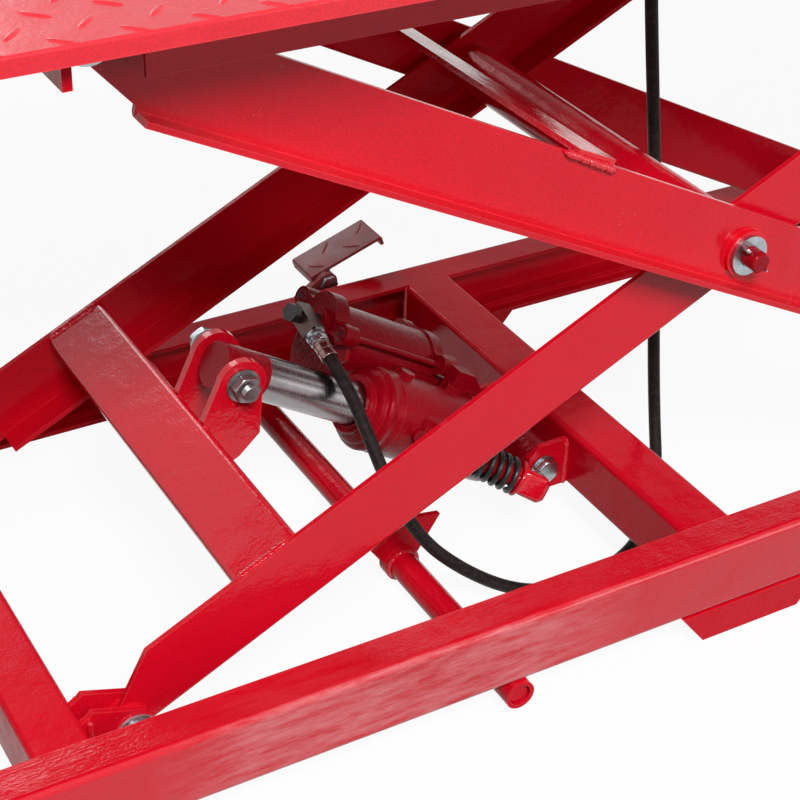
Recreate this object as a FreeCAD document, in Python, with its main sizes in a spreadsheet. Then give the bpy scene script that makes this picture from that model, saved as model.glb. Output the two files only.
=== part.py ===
import FreeCAD, Part
import math
import os
import re
import Sketcher
from FreeCAD import Placement, Rotation, Vector

# Scissor lift for motorcycles, raised, standing on the floor plane z = 0.
# X runs along the lift, Y across it, and the origin is under the middle of its outline.
# Every length is in millimetres. Angles are in degrees.
SIZES = {
    # scissor geometry
    "arm_span": 1356.0, "lift_angle": 26.46, "lower_pivot_drop": 18.9, "upper_pivot_rise": 8.0,
    "arm_depth": 72.0, "arm_wall": 5.0, "inner_arm_face": 225.5, "inner_arm_flange": 35.0,
    "outer_arm_face": 242.6, "outer_arm_flange": 20.0, "running_gap": 0.3, "fit_gap": 0.05,
    "upper_roller": 20.0, "upper_roller_width": 26.0, "lower_roller_width": 26.0,
    # ends of the arms
    "tip_long": 49.0, "tip_short": 12.0, "tip_reach": 22.0, "tip_step": 8.0, "flange_start": 47.0,
    "nose_back": 14.0,
    # base frame
    "foot_rise": 36.0, "foot_length": 176.0, "foot_taper": 29.0, "foot_wall": 5.0, "foot_width": 38.0,
    "base_width": 610.0, "rail_depth": 74.0, "rail_flange": 41.0, "rail_wall": 5.0,
    "rail_bend": 7.0, "rail_front": 300.0, "rail_length": 1755.0,
    "track_strip": 6.0, "track_strip_width": 24.0, "end_beam_width": 52.0, "end_beam_back": 47.5,
    "jack_beam_width": 59.0, "jack_beam_x": 556.5, "beam_drop": 9.0, "beam_wall": 3.0,
    "beam_bend": 6.0, "mid_foot_x": 626.0,
    # rollers and their pins
    "roller_radius": 28.5, "roller_width": 22.0, "roller_pin": 9.0, "roller_play": 1.5,
    # base pivots
    "ear_wall": 6.0, "ear_face": 240.0, "ear_gap": 19.0, "ear_front": 40.5, "ear_back": 17.5,
    "ear_crown": 11.6, "ear_rise": 20.6, "ear_shoulder": 9.6, "ear_edge": 4.0, "ear_lift": 2.5,
    "ear_toe": 6.0, "ear_heel": 14.0, "pivot_pin": 9.0, "bush_radius": 19.0,
    "washer_radius": 20.0, "washer_wall": 3.5, "bolt_head": 13.5, "bolt_head_height": 10.0,
    # centre pivot
    "centre_tube": 25.0, "centre_tube_wall": 4.0, "centre_pin": 10.0, "centre_pin_out": 17.0,
    "boss_radius": 22.0, "boss_wall": 6.0, "centre_washer": 19.0, "cotter_wire": 2.0,
    # crossbar of the inner arms with its ram ears
    "crossbar_start": 140.4, "crossbar_width": 68.3, "crossbar_depth": 60.0, "crossbar_sink": 2.4,
    "crossbar_wall": 4.0, "ram_pin_s": 259.0, "ram_pin_n": 43.0, "ram_pin_radius": 9.0,
    "ram_ear_wall": 8.0, "ram_ear_gap": 50.0, "ram_ear_radius": 24.5, "ram_ear_heel": 26.0,
    "ram_ear_foot": 11.0, "jack_y": 2.0, "ram_washer": 17.0, "ram_bolt_out": 20.0,
    # brace over the outer arms and the hidden tie tube at their lower end
    "brace_start": 447.0, "brace_width": 45.0, "brace_wall": 5.0, "brace_skew": 4.6,
    "tie_tube": 20.0, "tie_tube_wall": 3.0, "tie_tube_back": 96.0,
    # jack: lengths along its axis are measured from the ram pin
    "jack_pivot_x": 527.7, "jack_pivot_z": 36.0, "jack_offset": 17.0, "ram_radius": 22.5,
    "ram_head_front": 16.0, "ram_head_length": 52.0, "ram_bore_play": 5.6, "ram_inside": 90.0, "ram_stroke": 84.0,
    "gland_start": 162.5, "gland_length": 30.0, "gland_radius": 44.0, "gland_groove": 3.0,
    "gland_collar": 31.0, "gland_step": 7.0, "body_radius": 43.5, "body_length": 152.0, "body_wall": 9.0, "lug_radius": 24.0,
    "lug_half_near": 71.0, "lug_half_far": 57.0, "lug_pin": 8.0, "bracket_wall": 6.0,
    "bracket_height": 56.0, "bracket_reach": 46.0, "bracket_chamfer": 12.0,
    "jack_bolt_head": 12.0, "jack_plug_flat": 7.0, "jack_plug_height": 6.0,
    "jack_boss": 7.0, "jack_boss_s": 214.8, "jack_boss_n": 3.8, "valve_start": 273.0, "valve_top": 64.0,
    "valve_flat": 22.0, "valve_length": 49.0, "valve_heel": 45.3, "valve_side": 26.0, "valve_width": 18.0,
    # air motor beside the jack
    "motor_y": 80.0, "motor_n": 32.5, "motor_disc": 45.0, "motor_disc_y": 78.0, "motor_disc_n": 19.0,
    "motor_disc_start": 149.0, "motor_disc_wall": 5.0, "motor_radius": 38.0, "motor_length": 133.0,
    "motor_flange": 14.0, "motor_rim": 40.0, "motor_neck": 40.0,
    "cap_n": 54.5, "cap_start": 131.5, "cap_half": 42.0, "cap_lobe": 11.0, "cap_radius": 25.0,
    "cap_boss": 13.0, "cap_boss_height": 7.0,
    "tie_rod": 3.2, "screw_head": 6.0, "screw_socket": 3.2, "casting_width": 50.0,
    "hose_run_share": 0.45,
    # hose connection
    "banjo_y": 73.0, "banjo_n": 52.5, "banjo_yaw": 12.0, "banjo_roll": 16.0, "banjo_size": 17.0,
    "banjo_length": 19.0, "banjo_up": 9.0, "banjo_down": 26.0, "banjo_turn": 23.0, "banjo_neck": 5.0,
    "banjo_hex": 8.5, "banjo_hex_height": 10.0, "ferrule_collar": 10.5, "ferrule_collar_wall": 6.0,
    "ferrule_nut": 8.5, "ferrule_nut_length": 8.0, "ferrule_radius": 8.8, "ferrule_length": 34.0,
    "ferrule_grip": 17.0, "hose_radius": 6.5, "hose_sink": 1.5,
    # foot pump on the jack
    "pump_turn": 29.2, "pump_end_s": 341.0, "pump_end_y": -94.5, "pump_n": 4.0,
    "pump_block": 28.0, "pump_block_length": 30.0, "plunger_radius": 8.5, "plunger_stroke": 14.0,
    "spring_length": 60.0, "spring_radius": 16.5, "spring_wire": 3.0, "spring_turns": 5.0,
    "pump_housing_radius": 19.5, "pump_housing_length": 20.0,
    # pedal on the far side
    "sleeve_x": 351.5, "sleeve_radius": 15.1, "sleeve_out": 1.5, "sleeve_mouth": 10.8,
    "sleeve_mouth_depth": 9.0, "axle_radius": 9.0, "axle_inset": 1.5,
    "pedal_side": 10.0, "pedal_arm_wall": 8.0, "pedal_arm_width": 26.0, "pedal_bolt_x": 479.6,
    "pedal_bolt_z": 71.0, "pedal_bolt_radius": 6.0, "pedal_length": 100.0, "pedal_width": 48.0,
    "pedal_sheet": 4.0, "pedal_lip": 12.0, "pedal_tilt": 19.0, "pedal_lead": 20.0,
    "lug_y": 82.0, "lug_plate_wall": 6.0, "lug_plate_height": 46.0, "lug_plate_width": 44.0,
    # platform
    "deck_length": 2100.0, "deck_front": 340.0, "deck_width": 690.0, "deck_sheet": 3.0, "deck_bar": 12.7, "track_flange_start": 1100.0,
    "deck_skirt": 13.5, "deck_track_face": 270.8, "deck_track_flange": 26.0,
    "deck_track_wall": 4.0, "deck_track_start": 25.0, "deck_track_end": 1500.0,
    "track_play": 0.8, "rib_depth": 40.0, "rib_flange": 40.0, "rib_wall": 4.0, "rib_half": 325.0,
    "rib_x": -46.0, "front_rib_depth": 35.3, "front_rib_wall": 7.0, "hanger_wall": 6.0, "hanger_drop": 18.0, "hanger_half": 22.0,
    "loop_reach": 26.0, "loop_wire": 5.0, "loop_length": 70.0,
    # ramp
    "ramp_length": 450.0, "ramp_width": 560.0, "ramp_gap": 18.0, "hinge_radius": 8.0,
    "hinge_bore": 4.5,
    # wheel vise
    "vise_x": -300.0, "vise_jaw_length": 230.0, "vise_jaw_height": 95.0, "vise_jaw_wall": 5.0,
    "vise_open": 150.0, "vise_screw": 9.0, "vise_handle": 150.0, "vise_handle_wire": 5.0,
    "vise_base_wall": 6.0, "vise_nut": 18.0, "vise_screw_rise": 45.0,
}

doc = FreeCAD.newDocument("motorcycle_lift")
sheet = doc.addObject("Spreadsheet::Sheet", "Sizes")
for line, (alias, amount) in enumerate(SIZES.items(), start=1):
    sheet.set("A%d" % line, alias)
    sheet.set("B%d" % line, str(amount))
    sheet.setAlias("B%d" % line, alias)
doc.recompute()

X_AXIS, Y_AXIS, Z_AXIS = Vector(1, 0, 0), Vector(0, 1, 0), Vector(0, 0, 1)
ALONG = {"x": Rotation(Y_AXIS, 90), "y": Rotation(X_AXIS, -90), "z": Rotation()}
NODES = {}


def linked(text):
    """Expression text with every size name pointed at its cell."""
    return re.sub(r"[a-z]\w*", lambda m: "Sizes." + m.group() if m.group() in SIZES else m.group(), text)


def val(text):
    """Value of an expression made of size names."""
    answer = sheet.evalExpression(text)
    return float(getattr(answer, "Value", answer))


def spot(at):
    """Vector from three expressions."""
    return Vector(*[val(text) for text in at])


def block(name, size, at, turn=None):
    """Box with one corner at a point, its edges bound to sizes."""
    item = doc.addObject("Part::Box", name)
    for prop, text in zip(("Length", "Width", "Height"), size):
        item.setExpression(prop, linked(text))
    item.Placement = Placement(spot(at), turn or Rotation())
    return item


def rod(name, radius, length, at, along="y", turn=None):
    """Cylinder that starts at a point and runs along an axis."""
    item = doc.addObject("Part::Cylinder", name)
    item.setExpression("Radius", linked(radius))
    item.setExpression("Height", linked(length))
    item.Placement = Placement(spot(at), turn or ALONG[along])
    return item


def hexagon(name, flat, length, at, along="y"):
    """Hexagonal prism, sized by half its width across the flats."""
    item = doc.addObject("Part::Prism", name)
    item.Polygon = 6
    item.setExpression("Circumradius", linked("(" + flat + ") / cos(30 deg)"))
    item.setExpression("Height", linked(length))
    item.Placement = Placement(spot(at), ALONG[along])
    return item


def keep(item, node, frame):
    """Label a finished sub-part, place it and list it for export."""
    item.Label = node
    item.Placement = frame
    NODES[node] = item
    return item


def fuse(name, pieces):
    item = doc.addObject("Part::MultiFuse", name)
    item.Shapes = pieces
    item.Refine = True
    return item


def cut(name, base, tools):
    """Base solid with the tool solids taken away."""
    item = doc.addObject("Part::Cut", name)
    item.Base = base
    item.Tool = tools[0] if len(tools) == 1 else fuse(name + "_tools", tools)
    item.Refine = True
    return item


def ring(name, radius, bore, length, at, along="y"):
    """Cylinder with a through bore."""
    outer = rod(name + "_outer", radius, length, at, along)
    inner = rod(name + "_bore", bore, length, at, along)
    return cut(name, outer, [inner])


def group(name, pieces):
    item = doc.addObject("Part::Compound", name)
    item.Links = pieces
    return item


def mirrored(item):
    """The same solid on the other side of the middle plane."""
    other = doc.addObject("Part::Mirroring", item.Name + "_far")
    other.Source = item
    other.Base = Vector(0, 0, 0)
    other.Normal = Y_AXIS
    return other


def both(name, item):
    """A solid and its mirror image, as one compound."""
    return group(name, [item, mirrored(item)])


def body(name):
    return doc.addObject("PartDesign::Body", name)


def sketch(item, name, role, start, outlines):
    """Closed polygons (lists of points) and circles (x, y, radius) on an origin plane."""
    drawn = item.newObject("Sketcher::SketchObject", item.Name + "_" + name)
    plane = next(part for part in item.Origin.OriginFeatures if part.Role == role)
    drawn.AttachmentSupport = [(plane, "")]
    drawn.MapMode = "FlatFace"
    drawn.setExpression("AttachmentOffset.Base.z", linked(start))
    for outline in outlines:
        if isinstance(outline, tuple):
            place_circle(drawn, outline)
        else:
            place_polygon(drawn, outline)
    return drawn


def place_circle(drawn, outline):
    across, up, radius = outline
    centre = Vector(val(across), val(up), 0)
    edge = drawn.addGeometry(Part.Circle(centre, Z_AXIS, val(radius)), False)
    bind(drawn, Sketcher.Constraint("DistanceX", edge, 3, centre.x), across)
    bind(drawn, Sketcher.Constraint("DistanceY", edge, 3, centre.y), up)
    bind(drawn, Sketcher.Constraint("Radius", edge, val(radius)), radius)


def place_polygon(drawn, outline):
    corners = [Vector(val(across), val(up), 0) for across, up in outline]
    first = drawn.GeometryCount
    count = len(corners)
    for index in range(count):
        drawn.addGeometry(Part.LineSegment(corners[index], corners[(index + 1) % count]), False)
    for index in range(count):
        after = first + (index + 1) % count
        drawn.addConstraint(Sketcher.Constraint("Coincident", first + index, 2, after, 1))
    for index, (across, up) in enumerate(outline):
        bind(drawn, Sketcher.Constraint("DistanceX", first + index, 1, corners[index].x), across)
        bind(drawn, Sketcher.Constraint("DistanceY", first + index, 1, corners[index].y), up)


def bind(drawn, constraint, text):
    place = drawn.addConstraint(constraint)
    drawn.setExpression("Constraints[%d]" % place, linked(text))


def pad(item, name, role, start, length, outlines):
    """Extrude outlines from a plane offset by start, along the plane's normal."""
    feature = item.newObject("PartDesign::Pad", item.Name + "_" + name)
    feature.Profile = sketch(item, name + "_sketch", role, start, outlines)
    feature.setExpression("Length", linked(length))
    return feature


def pocket(item, name, role, outlines):
    """Cut outlines right through, both ways from the plane."""
    feature = item.newObject("PartDesign::Pocket", item.Name + "_" + name)
    feature.Profile = sketch(item, name + "_sketch", role, "0 * arm_wall", outlines)
    feature.Type = "ThroughAll"
    feature.Midplane = True
    return feature


def soften(item, name, radius, wanted):
    """Fillet the straight edges of a body whose middle point passes a test."""
    doc.recompute()
    tip = item.Tip
    edges = []
    for index, edge in enumerate(tip.Shape.Edges, start=1):
        if len(edge.Vertexes) == 2 and wanted(edge):
            edges.append("Edge%d" % index)
    feature = item.newObject("PartDesign::Fillet", item.Name + "_" + name)
    feature.Base = (tip, edges)
    feature.setExpression("Radius", linked(radius))
    return feature


def runs(edge, axis):
    """True when a straight edge is parallel to an axis."""
    way = edge.Vertexes[-1].Point - edge.Vertexes[0].Point
    return way.Length > 0 and abs(way.normalize().dot(axis)) > 1 - Precision


def near(amount, *texts):
    return any(abs(amount - val(text)) < Precision for text in texts)


Precision = 1e-4


def prism(name, role, start, length, outline, holes=()):
    """Plate with an outline and round holes, extruded from a plane."""
    item = body(name)
    pad(item, "plate", role, start, length, [outline] + list(holes))
    doc.recompute()
    return item


# The three main frames: base at the lower pivot, inner arms, outer arms, platform and jack.
theta = val("lift_angle")
half_span = "arm_span / 2"
total_length = "(deck_length + ramp_gap + ramp_length)"
AXIS = Vector(val("deck_front - " + total_length + " / 2"), 0,
              val("foot_rise + rail_wall + track_strip + roller_radius"))
BASE = Placement(Vector(AXIS.x, 0, 0), Rotation())
INNER = Placement(AXIS, Rotation(Y_AXIS, -theta))
CENTRE = INNER.multVec(Vector(val(half_span), 0, val("lower_pivot_drop")))
lean = Rotation(Y_AXIS, theta)
UPPER = CENTRE + lean.multVec(Vector(-val(half_span), 0, val("upper_pivot_rise")))
OUTER = Placement(UPPER, lean)
DECK = Placement(Vector(AXIS.x, 0, UPPER.z), Rotation())
PIN = INNER.multVec(Vector(val("ram_pin_s"), 0, val("lower_pivot_drop + ram_pin_n")))
HEEL = Vector(AXIS.x + val("jack_pivot_x"), 0, val("foot_rise + jack_pivot_z"))
reach = (HEEL - PIN).Length
droop = math.degrees(math.atan2(PIN.z - HEEL.z, HEEL.x - PIN.x))
droop += math.degrees(math.asin(val("jack_offset") / reach))
JACK = Placement(PIN, Rotation(Y_AXIS, droop))
heel_s = math.sqrt(reach ** 2 - val("jack_offset") ** 2)
print("lower pivot", AXIS, "centre", CENTRE, "upper pivot", UPPER)
print("ram pin", PIN, "jack heel", HEEL, "along the ram", heel_s, "slope", droop)

# Base rails: channels that open inwards, with a raised track strip for the rollers.
rail_low = "foot_rise"
rail_high = "foot_rise + rail_depth"
axis_height = "foot_rise + rail_wall + track_strip + roller_radius"


def rail(node, side):
    item = body(node)
    web = "(%d) * base_width / 2" % side
    edge = "(%d) * (base_width / 2 - rail_flange)" % side
    back = "(%d) * (base_width / 2 - rail_wall)" % side
    strip = "(%d) * (base_width / 2 - rail_wall - track_strip_width)" % side
    floor_top = "foot_rise + rail_wall"
    outline = [(web, rail_low), (edge, rail_low), (edge, floor_top), (strip, floor_top),
               (strip, floor_top + " + track_strip"), (back, floor_top + " + track_strip"),
               (back, rail_high + " - rail_wall"), (edge, rail_high + " - rail_wall"),
               (edge, rail_high), (web, rail_high)]
    pad(item, "channel", "YZ_Plane", "-rail_front", "rail_length", [outline])
    soften(item, "bend", "rail_bend", lambda e: runs(e, X_AXIS) and near(e.CenterOfMass.y, web)
           and near(e.CenterOfMass.z, rail_low, rail_high))
    keep(item, node, BASE)


rail("base_rail_near", -1)
rail("base_rail_far", 1)


def crossbeam(name, start, width):
    """Box beam between the rails, its top level with theirs."""
    item = body(name)
    low = "foot_rise + beam_drop"
    end = "(%s) + %s" % (start, width)
    outline = [(start, low), (end, low), (end, rail_high), (start, rail_high)]
    wall = "beam_wall"
    hole = [(start + " + " + wall, low + " + " + wall), (end + " - " + wall, low + " + " + wall),
            (end + " - " + wall, rail_high + " - " + wall), (start + " + " + wall, rail_high + " - " + wall)]
    inside = "(base_width / 2 - rail_flange)"
    pad(item, "beam", "XZ_Plane", "-" + inside, "2 * " + inside, [outline, hole])
    soften(item, "bend", "beam_bend", lambda e: runs(e, Y_AXIS)
           and near(e.CenterOfMass.x, start, end) and near(e.CenterOfMass.z, low, rail_high))
    return item


left_beam = crossbeam("beam_left", "(-end_beam_back - end_beam_width)", "end_beam_width")
right_beam = crossbeam("beam_right", "rail_length - rail_front - end_beam_width", "end_beam_width")
keep(group("end_beams", [left_beam, right_beam]), "end_crossbeams", BASE)
keep(crossbeam("beam_jack", "jack_beam_x", "jack_beam_width"), "jack_crossbeam", BASE)


def foot(name, middle, side):
    """Channel foot with sloping ends, flush with the outside of its rail."""
    half = "foot_length / 2"
    foot_half = "(foot_length / 2 - foot_taper)"
    outline = [("%s - %s" % (middle, half), rail_low), ("%s + %s" % (middle, half), rail_low),
               ("%s + %s" % (middle, foot_half), "0 * foot_rise"),
               ("%s - %s" % (middle, foot_half), "0 * foot_rise")]
    face = "(%d) * base_width / 2" % -side
    start = face if side < 0 else face + " + 0 * foot_width"
    away = "foot_width"
    begin = "(base_width / 2 - foot_width)" if side < 0 else "-base_width / 2"
    item = prism(name, "XZ_Plane", begin, away, outline)
    return item


foot_spots = ["(foot_length / 2 - rail_front)", "mid_foot_x",
              "(rail_length - rail_front - foot_length / 2)"]
feet = []
for index, middle in enumerate(foot_spots):
    for side, word in ((-1, "near"), (1, "far")):
        feet.append(foot("foot_%s_%d" % (word, index), middle, side))
keep(group("feet", feet), "base_feet", BASE)


# Base pivots: two ears on each side, welded to the left crossbeam, around each inner arm.
def base_ear(name, face):
    """Ear plate whose face furthest from the middle is at a distance from it."""
    outline = [("-end_beam_back", "foot_rise + beam_drop + ear_toe"), ("ear_back", "foot_rise + ear_heel"),
               ("ear_back", axis_height + " + ear_shoulder"), ("ear_crown", axis_height + " + ear_rise"),
               ("ear_edge - ear_front", rail_high + " + ear_lift"),
               ("-ear_front", rail_high + " - ear_edge / 2"),
               ("-end_beam_back", rail_high + " - beam_bend")]
    start = "(%s) - ear_wall" % face
    hole = ("0", axis_height, "pivot_pin + fit_gap")
    return prism(name, "XZ_Plane", start, "ear_wall", outline, [hole])


ears = []
for face, word in (("ear_face", "outer"), ("(ear_face - ear_wall - ear_gap)", "inner")):
    ears.append(both("ears_" + word, base_ear("ear_" + word, face)))
keep(group("ears", ears), "pivot_ears", BASE)


def bolt(name, radius, inner, outer, at_x, at_z, washer="washer_radius", head="bolt_head",
         head_height="bolt_head_height", nut=True):
    """Near-side bolt across the part: shank from inner to outer distance, washer and head outside."""
    reach_out = "(%s)" % outer
    shank = rod(name + "_shank", radius, "%s - (%s)" % (reach_out, inner), (at_x, "-" + reach_out, at_z))
    disc = rod(name + "_washer", washer, "washer_wall", (at_x, "-%s - washer_wall" % reach_out, at_z))
    cap = hexagon(name + "_head", head, head_height,
                  (at_x, "-%s - washer_wall - (%s)" % (reach_out, head_height), at_z))
    pieces = [shank, disc, cap]
    if nut:
        pieces.append(hexagon(name + "_nut", head, head_height, (at_x, "-(%s)" % inner, at_z)))
    return both(name + "_pair", fuse(name, pieces))


pins = bolt("base_pin", "pivot_pin", "ear_face - 2 * ear_wall - ear_gap", "ear_face", "0", axis_height)
keep(pins, "base_pivot_pins", BASE)

# Inner arms: channels with flanges turned inwards and trimmed ends.
INNER_LOW = "(lower_pivot_drop - arm_depth / 2)"
INNER_TOP = "(lower_pivot_drop + arm_depth / 2)"


def arm(node, side, frame, face, flange, inward, low, top, holes):
    """Channel arm: web between two distances, flanges on one side of it, ends trimmed."""
    item = body(node)
    foot_cut = [("-tip_short", "0 - 14"), ("-tip_short + 4", "-nose_back - 3"),
                ("flange_start", low), ("arm_span - flange_start", low),
                ("arm_span + tip_short - 4", holes[1][1] + " - 18"),
                ("arm_span + tip_short", holes[1][1] + " - 6"),
                ("arm_span + tip_short", holes[1][1] + " + 12"),
                ("arm_span - tip_long", top), ("tip_long", top), ("-tip_short", "10")]
    web = "(%s - arm_wall)" % face
    start = web if side < 0 else "-(%s)" % face
    pad(item, "web", "XZ_Plane", start, "arm_wall", [foot_cut] + holes)
    above = low + " + arm_wall"
    strips = [[("flange_start", low), ("arm_span - flange_start", low),
               ("arm_span - flange_start", above), ("flange_start", above)]]
    if inward:
        edge = "(%s - %s)" % (face, flange)
        start = edge if side < 0 else "-(%s)" % face
        pad(item, "flanges", "XZ_Plane", start, flange, strips)
        corner = face
    else:
        start = web if side < 0 else "-(%s + %s)" % (face, flange)
        pad(item, "flanges", "XZ_Plane", start, flange + " + arm_wall", strips)
        corner = "(%s - arm_wall)" % face
    soften(item, "bend", "arm_wall - 0.5", lambda e: runs(e, X_AXIS) and e.Length > val("arm_span / 2")
           and near(e.CenterOfMass.y, "(%d) * %s" % (side, corner)) and near(e.CenterOfMass.z, low))
    keep(item, node, frame)


inner_holes = [("0", "0", "pivot_pin + fit_gap"),
               ("arm_span", "lower_pivot_drop + upper_pivot_rise", "roller_pin + fit_gap"),
               (half_span, "lower_pivot_drop", "centre_tube")]
for side, word in ((-1, "near"), (1, "far")):
    arm("inner_arm_" + word, side, INNER, "inner_arm_face", "inner_arm_flange", True,
        INNER_LOW, INNER_TOP, inner_holes)

# Bushes between the inner arms and the base ears.
bush = ring("bush_outer", "bush_radius", "pivot_pin + fit_gap", "ear_face - ear_wall - inner_arm_face - running_gap",
            ("0", "-ear_face + ear_wall + running_gap", "0"))
inner_bush = ring("bush_inner", "bush_radius", "pivot_pin + fit_gap",
                  "inner_arm_face - arm_wall - (ear_face - ear_wall - ear_gap) - running_gap",
                  ("0", "-inner_arm_face + arm_wall", "0"))
keep(group("bushes", [both("bush_a", bush), both("bush_b", inner_bush)]), "arm_bushes", INNER)

# Crossbar between the inner arms, with the two ears that hold the ram.
bar_low = "(lower_pivot_drop + ram_ear_radius + 9.1 - crossbar_depth)"
bar_top = "(lower_pivot_drop + ram_ear_radius + 9.1)"
bar_end = "(crossbar_start + crossbar_width)"
crossbar = body("inner_crossbar")
wall = "crossbar_wall"
outline = [("crossbar_start", bar_low), (bar_end, bar_low), (bar_end, bar_top), ("crossbar_start", bar_top)]
hollow = [("crossbar_start + " + wall, bar_low + " + " + wall), (bar_end + " - " + wall, bar_low + " + " + wall),
          (bar_end + " - " + wall, bar_top + " - " + wall), ("crossbar_start + " + wall, bar_top + " - " + wall)]
pad(crossbar, "tube", "XZ_Plane", "-(inner_arm_face - arm_wall)", "2 * (inner_arm_face - arm_wall)", [outline, hollow])
soften(crossbar, "bend", "beam_bend", lambda e: runs(e, Y_AXIS)
       and near(e.CenterOfMass.x, "crossbar_start", bar_end) and near(e.CenterOfMass.z, bar_low, bar_top))
keep(crossbar, "inner_crossbar", INNER)

pin_n = "(lower_pivot_drop + ram_pin_n)"


def ram_ear(name, start):
    """Ear plate: a round eye at the pin, a straight back edge and a chamfered heel on the crossbar."""
    item = body(name)
    plate = [(bar_end, bar_top), ("ram_pin_s - ram_ear_radius * 0.45", pin_n + " + ram_ear_radius * 0.893"),
             ("ram_pin_s + ram_ear_radius * 0.5", pin_n + " - ram_ear_radius * 0.866"),
             ("ram_pin_s - ram_ear_foot", "lower_pivot_drop - 17.5"),
             (bar_end + " + ram_ear_foot", "lower_pivot_drop - ram_ear_heel"),
             (bar_end, "lower_pivot_drop - ram_ear_heel")]
    pad(item, "plate", "XZ_Plane", start, "ram_ear_wall", [plate])
    pad(item, "eye", "XZ_Plane", start, "ram_ear_wall", [("ram_pin_s", pin_n, "ram_ear_radius")])
    pocket(item, "bore", "XZ_Plane", [("ram_pin_s", pin_n, "ram_pin_radius + fit_gap")])
    doc.recompute()
    return item


near_ear = ram_ear("ram_ear_near", "ram_ear_gap / 2 - jack_y")
far_ear = ram_ear("ram_ear_far", "-jack_y - ram_ear_gap / 2 - ram_ear_wall")
keep(group("ram_ear_pair", [near_ear, far_ear]), "ram_ears", INNER)

ear_out = "(ram_ear_gap / 2 + ram_ear_wall)"
near_out = "jack_y - " + ear_out
far_out = "jack_y + " + ear_out
ram_bolt = fuse("ram_bolt_all", [
    rod("ram_bolt_shank", "ram_pin_radius", "2 * %s + ram_bolt_out" % ear_out,
        ("ram_pin_s", near_out + " - ram_bolt_out", pin_n)),
    rod("ram_bolt_washer_near", "ram_washer", "washer_wall", ("ram_pin_s", near_out + " - washer_wall", pin_n)),
    hexagon("ram_bolt_nut", "bolt_head", "bolt_head", ("ram_pin_s", near_out + " - washer_wall - bolt_head", pin_n)),
    rod("ram_bolt_washer_far", "ram_washer", "washer_wall", ("ram_pin_s", far_out, pin_n)),
    hexagon("ram_bolt_head", "bolt_head", "bolt_head_height", ("ram_pin_s", far_out + " + washer_wall", pin_n))])
keep(ram_bolt, "ram_bolt", INNER)

# Centre pivot: a tube through both inner arms, with the long axle inside it.
centre_n = "lower_pivot_drop"
tube = ring("centre_tube_all", "centre_tube - fit_gap / 2", "centre_tube - centre_tube_wall",
            "2 * inner_arm_face + 2", (half_span, "-inner_arm_face - 1", centre_n))
liner = ring("centre_liner", "centre_tube - centre_tube_wall", "centre_pin + fit_gap", "30",
             (half_span, "-inner_arm_face - 1", centre_n))
keep(group("centre_tube_group", [fuse("centre_tube_fused", [tube, liner, mirrored(liner)])]), "centre_tube", INNER)
axle_out = "(outer_arm_face + boss_wall + washer_wall + centre_pin_out)"
cotter_at = (half_span, "-outer_arm_face - boss_wall - washer_wall - 7", centre_n + " - centre_pin - 6")
cotter_hole = rod("cotter_hole", "cotter_wire + fit_gap", "2 * centre_pin + 12", cotter_at, "z")
axle = rod("centre_axle_rod", "centre_pin", "2 * " + axle_out, (half_span, "-" + axle_out, centre_n))
keep(cut("centre_axle_cut", axle, [both("cotter_holes", cotter_hole)]), "centre_axle", INNER)
washer = ring("centre_washer_ring", "centre_washer", "centre_pin", "washer_wall",
              (half_span, "-outer_arm_face - boss_wall - washer_wall - running_gap", centre_n))
keep(both("centre_washer_pair", washer), "centre_washers", INNER)
cotter = rod("cotter_rod", "cotter_wire", "2 * centre_pin + 12", cotter_at, "z")
keep(both("cotter_pair", cotter), "cotter_pins", INNER)

# Pins of the upper rollers, and the rollers on the inner arms.
upper_n = "(lower_pivot_drop + upper_pivot_rise)"
track_back = "(deck_track_face - deck_track_wall)"
upper_pin = fuse("upper_pin", [
    rod("upper_pin_rod", "roller_pin", track_back + " - roller_play - inner_arm_face + 2 * arm_wall",
        ("arm_span", "-" + track_back + " + roller_play", upper_n)),
    rod("upper_pin_collar", "roller_pin + 5", track_back + " - roller_play - upper_roller_width - inner_arm_face - running_gap",
        ("arm_span", "-" + track_back + " + roller_play + upper_roller_width + running_gap", upper_n))])
keep(both("upper_pin_pair", upper_pin), "upper_roller_pins", INNER)

# Outer arms, mirrored about the centre pivot, with flanges turned outwards.
OUTER_LOW = "(-upper_pivot_rise - arm_depth / 2)"
OUTER_TOP = "(arm_depth / 2 - upper_pivot_rise)"
lower_n = "(-upper_pivot_rise - lower_pivot_drop)"


def outer_arm(node, side):
    item = body(node)
    outline = [("-tip_short", "-6"), ("-tip_short + 6", "-12"), ("54", "-upper_pivot_rise - 28"),
               ("56", OUTER_LOW), ("arm_span - tip_long", OUTER_LOW), ("arm_span + tip_short", lower_n + " - 10"),
               ("arm_span + tip_short", lower_n + " + 14"), ("arm_span - 4", lower_n + " + 18"),
               ("arm_span - flange_start", OUTER_TOP), ("tip_long", OUTER_TOP), ("-tip_short", "14")]
    holes = [("0", "0", "pivot_pin + fit_gap"), (half_span, "-upper_pivot_rise", "boss_radius"),
             ("arm_span", lower_n, "roller_pin")]
    web = "(outer_arm_face - arm_wall)"
    start = web if side < 0 else "-(outer_arm_face)"
    pad(item, "web", "XZ_Plane", start, "arm_wall", [outline] + holes)
    above = OUTER_LOW + " + arm_wall"
    strips = [[("56", OUTER_LOW), ("arm_span - tip_long", OUTER_LOW), ("arm_span - tip_long", above), ("56", above)]]
    start = web if side < 0 else "-(outer_arm_face + outer_arm_flange)"
    pad(item, "flanges", "XZ_Plane", start, "outer_arm_flange + arm_wall", strips)
    corner = "(%d) * (outer_arm_face - arm_wall)" % side
    soften(item, "bend", "arm_wall - 0.5", lambda e: runs(e, X_AXIS) and e.Length > val("arm_span / 2")
           and near(e.CenterOfMass.y, corner) and near(e.CenterOfMass.z, OUTER_LOW))
    keep(item, node, OUTER)


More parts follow.
